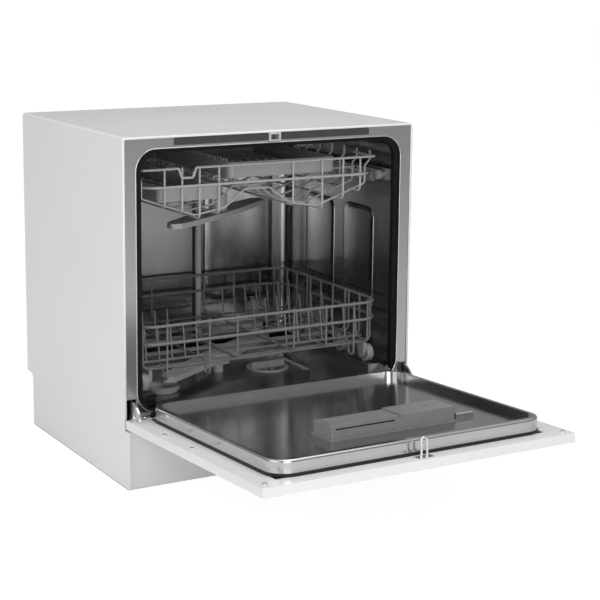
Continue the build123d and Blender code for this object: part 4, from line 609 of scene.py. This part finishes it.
# ================================================================ fascia
# A white moulding is clipped across the door's top. It holds the push buttons, a smoked window and,
# behind them, the control board.
fascia_white = finish_of("fascia_plastic", (0.80, 0.80, 0.795), 0.30, vary=0.012, grain=10, bump=0.15,
                         bump_grain=1100, bump_depth=0.00006, coat=0.15)
dress(fascia_white, "door_fascia")
button_white = finish_of("button_plastic", (0.58, 0.58, 0.585), 0.26, vary=0.02, grain=60, bump=0.1,
                         bump_grain=900)
dress(button_white, "power_button", "programme_button", "start_button")
window_black = finish_of("smoked_window", (0.012, 0.012, 0.014), 0.10, vary=0.1, grain=20, coat=0.6)
dress(window_black, "display_window")
board_green = finish_of("board_resist", (0.03, 0.16, 0.08), 0.4, vary=0.15, grain=300)
dress(board_green, "control_board")

# ================================================================ insulation
# Black bitumen felt is laid between the pan and the inner door, against heat and noise. Only its edge
# shows.
felt = finish_of("black_felt", (0.010, 0.010, 0.011), 0.85, vary=0.3, grain=400, bump=0.6, bump_grain=900,
                 sheen=0.1)
dress(felt, "door_core")

# ================================================================ inner door
# A tray drawn from stainless sheet, with a tall rounded rim that meets the seal. Screws through its
# flat lip hold it to the pan.
liner_steel = finish_of("liner_steel", (0.56, 0.555, 0.545), 0.17, metal=1.0, vary=0.05, grain=12, bump=0.2,
                        bump_grain=20, bump_depth=0.0008, rough_vary=0.04)
dress(liner_steel, "door_liner")

# ================================================================ dispenser
# A housing moulded in grey plastic is let into the inner door. Its lid slides sideways under a hood,
# and covers the detergent cup when shut.
dispenser_grey = finish_of("dispenser_plastic", (0.215, 0.215, 0.21), 0.34, vary=0.05, grain=60, bump=0.2,
                           bump_grain=900)
dress(dispenser_grey, "detergent_dispenser")
lid_grey = finish_of("lid_plastic", (0.225, 0.225, 0.22), 0.32, vary=0.05, grain=60, bump=0.2, bump_grain=900)
dress(lid_grey, "detergent_lid")

hinge_y, hinge_z, open_angle = -0.006, 0.115, math.radians(87)


def laid_open(x, y, z):
    """Where a point of the shut door lies when the door is open."""
    a, b = y - hinge_y, z - hinge_z
    return Vector((x, hinge_y + a * math.cos(open_angle) - b * math.sin(open_angle),
                   hinge_z + a * math.sin(open_angle) + b * math.cos(open_angle)))


inward = (0.0, math.cos(open_angle), math.sin(open_angle))
upward = (0.0, -math.sin(open_angle), math.cos(open_angle))


def dome_tree(name, material):
    """A low dome on each point, turned to face one way: a screw head or a lens."""
    tree, source, output = repeat_tree(name, {"Radius": 0.0036, "Facing": (0.0, 1.0, 0.0)})
    lowness = 0.28
    dome = tree.nodes.new("GeometryNodeMeshUVSphere")
    dome.inputs["Segments"].default_value = 20
    dome.inputs["Rings"].default_value = 8
    tree.links.new(source.outputs["Radius"], dome.inputs["Radius"])
    flat = tree.nodes.new("GeometryNodeTransform")
    flat.inputs["Scale"].default_value = (1.0, 1.0, lowness)
    tree.links.new(dome.outputs["Mesh"], flat.inputs[0])
    facing = aimed(tree, "Z", source.outputs["Facing"])
    close_tree(tree, output, set_on(tree, source.outputs[0], flat.outputs[0], facing), material)
    return tree


# the rinse aid shows through a dark lens in a low ring on the hood
lens_x, lens_z, lens_y, lens_ring_y = 0.095, 0.4275, 0.0319, 0.0323
grown_piece("rinse_aid_lens", dome_tree("rinse_lens", window_black), [laid_open(lens_x, lens_y, lens_z)],
            {"Radius": 0.0036, "Facing": inward}, "door")
grown_piece("rinse_aid_ring", hoop_tree("rinse_ring", dispenser_grey), [laid_open(lens_x, lens_ring_y, lens_z)],
            {"Radius": 0.0046, "Wire": 0.0005, "Turn": (open_angle - math.pi / 2, 0.0, 0.0)}, "door")

# the lid's rim is a low bead, which a fingertip finds
lid_middle, lid_half, lid_low, lid_high, lid_y, lid_radius = -0.029, 0.051, 0.4062, 0.4488, 0.03045, 0.004
lid_outline = [laid_open(lid_middle + p.x, p.y, p.z)
               for p in rounded_outline(lid_half, lid_low, lid_high, lid_radius, lid_y, steps=6)]
verts, faces = swept_bead(lid_outline, half_wide=0.0006, half_deep=0.0004, sides=10, closed=True, out=inward)
piece_from("lid_rim", verts, faces, lid_grey, "detergent_lid")

# a drip slit runs along the housing's far face, just below its top; a dark bead stands for it, painted shade in
# the slit
slit_y, slit_z = 0.0256, 0.4550
slit_path = [laid_open(x, slit_y, slit_z) for x in (-0.085, -0.050, -0.015, 0.020)]
verts, faces = swept_bead(slit_path, half_wide=0.0012, half_deep=0.00025, sides=12, closed=False, out=upward)
piece_from("dispenser_slit", verts, faces, hole_shade, "door")

# ================================================================ corner seals
# Two blocks of the seal's black rubber close its lower ends. They are pressed on to the inner door, one
# round each lower corner.
block_y = 0.0040
block_arc = ((0.2382, 0.1372), (0.2366, 0.1350), (0.2348, 0.1332), (0.2326, 0.1316), (0.2302, 0.1303))
for side, word in ((-1, "left"), (1, "right")):
    block_path = [laid_open(side * x, block_y, z) for x, z in block_arc]
    verts, faces = swept_bead(block_path, half_wide=0.0035, half_deep=0.0052, sides=20, closed=False,
                              out=inward)
    piece_from(f"corner_seal_{word}", verts, faces, seal_black, "door")

# ================================================================ striker and screws
# The striker is a bright wire loop on a plate. The screws are zinc plated, with pressed heads and a
# cross recess, and hold the rear panel and the inner door's lip.
chrome = finish_of("bright_wire", (0.78, 0.78, 0.78), 0.12, metal=1.0, vary=0.03, grain=80)
dress(chrome, "door_striker")
dress(zinc, "door_screws", "cabinet_screws")


def recess_tree(name, material):
    """Two crossed dark bars on each point, turned to face one way: painted shade for a screw's cross recess."""
    bar_depth = 0.0003
    tree, source, output = repeat_tree(name, {"Long": 0.0034, "Wide": 0.0006, "Facing": (0.0, 1.0, 0.0)})
    bars = tree.nodes.new("GeometryNodeJoinGeometry")
    for first, second in (("Long", "Wide"), ("Wide", "Long")):
        size = tree.nodes.new("ShaderNodeCombineXYZ")
        size.inputs[2].default_value = bar_depth
        tree.links.new(source.outputs[first], size.inputs[0])
        tree.links.new(source.outputs[second], size.inputs[1])
        bar = tree.nodes.new("GeometryNodeMeshCube")
        tree.links.new(size.outputs[0], bar.inputs["Size"])
        tree.links.new(bar.outputs["Mesh"], bars.inputs[0])
    facing = aimed(tree, "Z", source.outputs["Facing"])
    close_tree(tree, output, set_on(tree, source.outputs[0], bars.outputs[0], facing), material, False)
    return tree


screw_domes = dome_tree("screw_dome", zinc)
screw_crosses = recess_tree("screw_cross", hole_shade)
rear_screw_x, rear_screw_y, rear_cross_rise = 0.260, 0.4403, 0.00108
rear_screws = [(sx * rear_screw_x, rear_screw_y, z) for sx in (-1, 1) for z in (0.127, 0.338, 0.545)]
rear_domes = grown_piece("rear_screw_domes", screw_domes, rear_screws, {"Radius": 0.0042}, "cabinet")
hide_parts("cabinet_screws")
rear_crosses = [(x, y + rear_cross_rise, z) for x, y, z in rear_screws]
grown_piece("rear_screw_crosses", screw_crosses, rear_crosses, {"Long": 0.0034}, "cabinet")
door_screw_x, door_screw_y, door_cross_rise = 0.263, -0.0034, 0.00098
door_screws = [laid_open(sx * door_screw_x, door_screw_y, z) for sx in (-1, 1) for z in (0.235, 0.330, 0.557)]
grown_piece("door_screw_domes", screw_domes, door_screws, {"Radius": 0.0036, "Facing": inward}, "door")
door_crosses = [p + Vector(inward) * door_cross_rise for p in door_screws]
grown_piece("door_screw_crosses", screw_crosses, door_crosses, {"Long": 0.0034, "Facing": inward}, "door")

# ================================================================ lower rack
# Steel wire, welded and dipped in dark grey nylon. It rolls on six moulded wheels, which clips hold to
# its sides.
dark_nylon = finish_of("dark_nylon", (0.17, 0.175, 0.18), 0.33, vary=0.08, grain=90, bump=0.3, bump_grain=420,
                       bump_depth=0.0002, coat=0.2)
dress(dark_nylon, "lower_rack_frame", "lower_rack_tines")
wheel_grey = finish_of("wheel_plastic", (0.27, 0.275, 0.28), 0.36, vary=0.05, grain=90, bump=0.2,
                       bump_grain=900)
wheel_names = [f"wheel_{s}_{p}" for s in ("left", "right") for p in ("front", "middle", "rear")]
dress(wheel_grey, "rack_clips", *wheel_names)

# every wire end and tine tip is closed by a drop of nylon
drop_tree, source, output = repeat_tree("nylon_drop", {"Drop": 0.0019})
drop = drop_tree.nodes.new("GeometryNodeMeshUVSphere")
drop.inputs["Segments"].default_value = 12
drop.inputs["Rings"].default_value = 8
drop_tree.links.new(source.outputs["Drop"], drop.inputs["Radius"])
close_tree(drop_tree, output, set_on(drop_tree, source.outputs[0], drop.outputs["Mesh"]), dark_nylon)
tine_pitch, tine_lean, tine_top = 0.024, 0.009, 0.2444
tine_tips = []
for y in (0.066, 0.180, 0.304):
    for first, count in ((-0.205, 5), (0.064, 7)):
        tine_tips += [(first + tine_pitch * k, y + tine_lean, tine_top) for k in range(count)]
grown_piece("tine_tips", drop_tree, tine_tips, {"Drop": 0.0016}, "lower_rack")
wire_top, side_x, front_y, rear_wire_y = 0.258, 0.2301, 0.0339, 0.3791
side_wires = [(0.2219, 0.044), (0.2288, 0.056), (0.2293, 0.355)]
side_wires += [(side_x, y) for y in (0.092, 0.129, 0.141, 0.185, 0.228, 0.267, 0.279, 0.318)]
wire_ends = [(sx * x, y, wire_top) for sx in (-1, 1) for x, y in side_wires]
for x in (-0.182, -0.103, -0.050, 0.060, 0.125, 0.182):
    wire_ends += [(x, front_y, wire_top), (x, rear_wire_y, wire_top)]
wire_ends += [(0.212, 0.03675, wire_top), (0.212, 0.37625, wire_top)]
grown_piece("lower_wire_ends", drop_tree, wire_ends, {"Drop": 0.00185}, "lower_rack")

# each wheel has five spokes on its outer face, a ring round its hub and a rounded tread edge
spokes = ring_tree("wheel_spokes", wheel_grey)
wheel_hoops = hoop_tree("wheel_hoops", wheel_grey)
axle_turn, spoke_inset, hoop_inset = (0.0, math.pi / 2, 0.0), 0.0014, 0.0002
for wheel in wheel_names:
    low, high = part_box(wheel)
    middle = (Vector(low) + Vector(high)) / 2
    side = 1 if middle.x > 0 else -1
    outer_x = high[0] if side > 0 else low[0]
    grown_piece(wheel + "_spokes", spokes, [(outer_x - side * spoke_inset, middle.y, middle.z)],
                {"Count": 5, "Radius": 0.009, "Long": 0.0068, "Wide": 0.0014, "Deep": 0.0012,
                 "Turn": axle_turn}, wheel)
    for tag, radius in (("hub_ring", 0.0052), ("rim_ring", 0.0131)):
        grown_piece(f"{wheel}_{tag}", wheel_hoops, [(outer_x - side * hoop_inset, middle.y, middle.z)],
                    {"Radius": radius, "Wire": 0.0006, "Turn": axle_turn}, wheel)

# ================================================================ upper rack
# The same wire in a lighter grey, carried by steel channels that run on four wall rollers. Two moulded
# cutlery trays stand in it.
light_nylon = finish_of("light_nylon", (0.42, 0.42, 0.41), 0.32, vary=0.06, grain=90, bump=0.3, bump_grain=420,
                        bump_depth=0.0002, coat=0.2)
dress(light_nylon, "upper_rack_frame")
rail_steel = finish_of("rail_steel", (0.60, 0.60, 0.59), 0.25, metal=1.0, vary=0.05, grain=400,
                       stretch=(1, 0.05, 1))
dress(rail_steel, "upper_runners")
tray_grey = finish_of("tray_plastic", (0.34, 0.345, 0.35), 0.38, vary=0.05, grain=60, bump=0.2, bump_grain=900)
dress(tray_grey, "cutlery_tray_left", "cutlery_tray_right")
roller_names = [f"roller_{s}_{p}" for s in ("left", "right") for p in ("front", "rear")]
dress(wheel_grey, "rail_brackets", *roller_names)
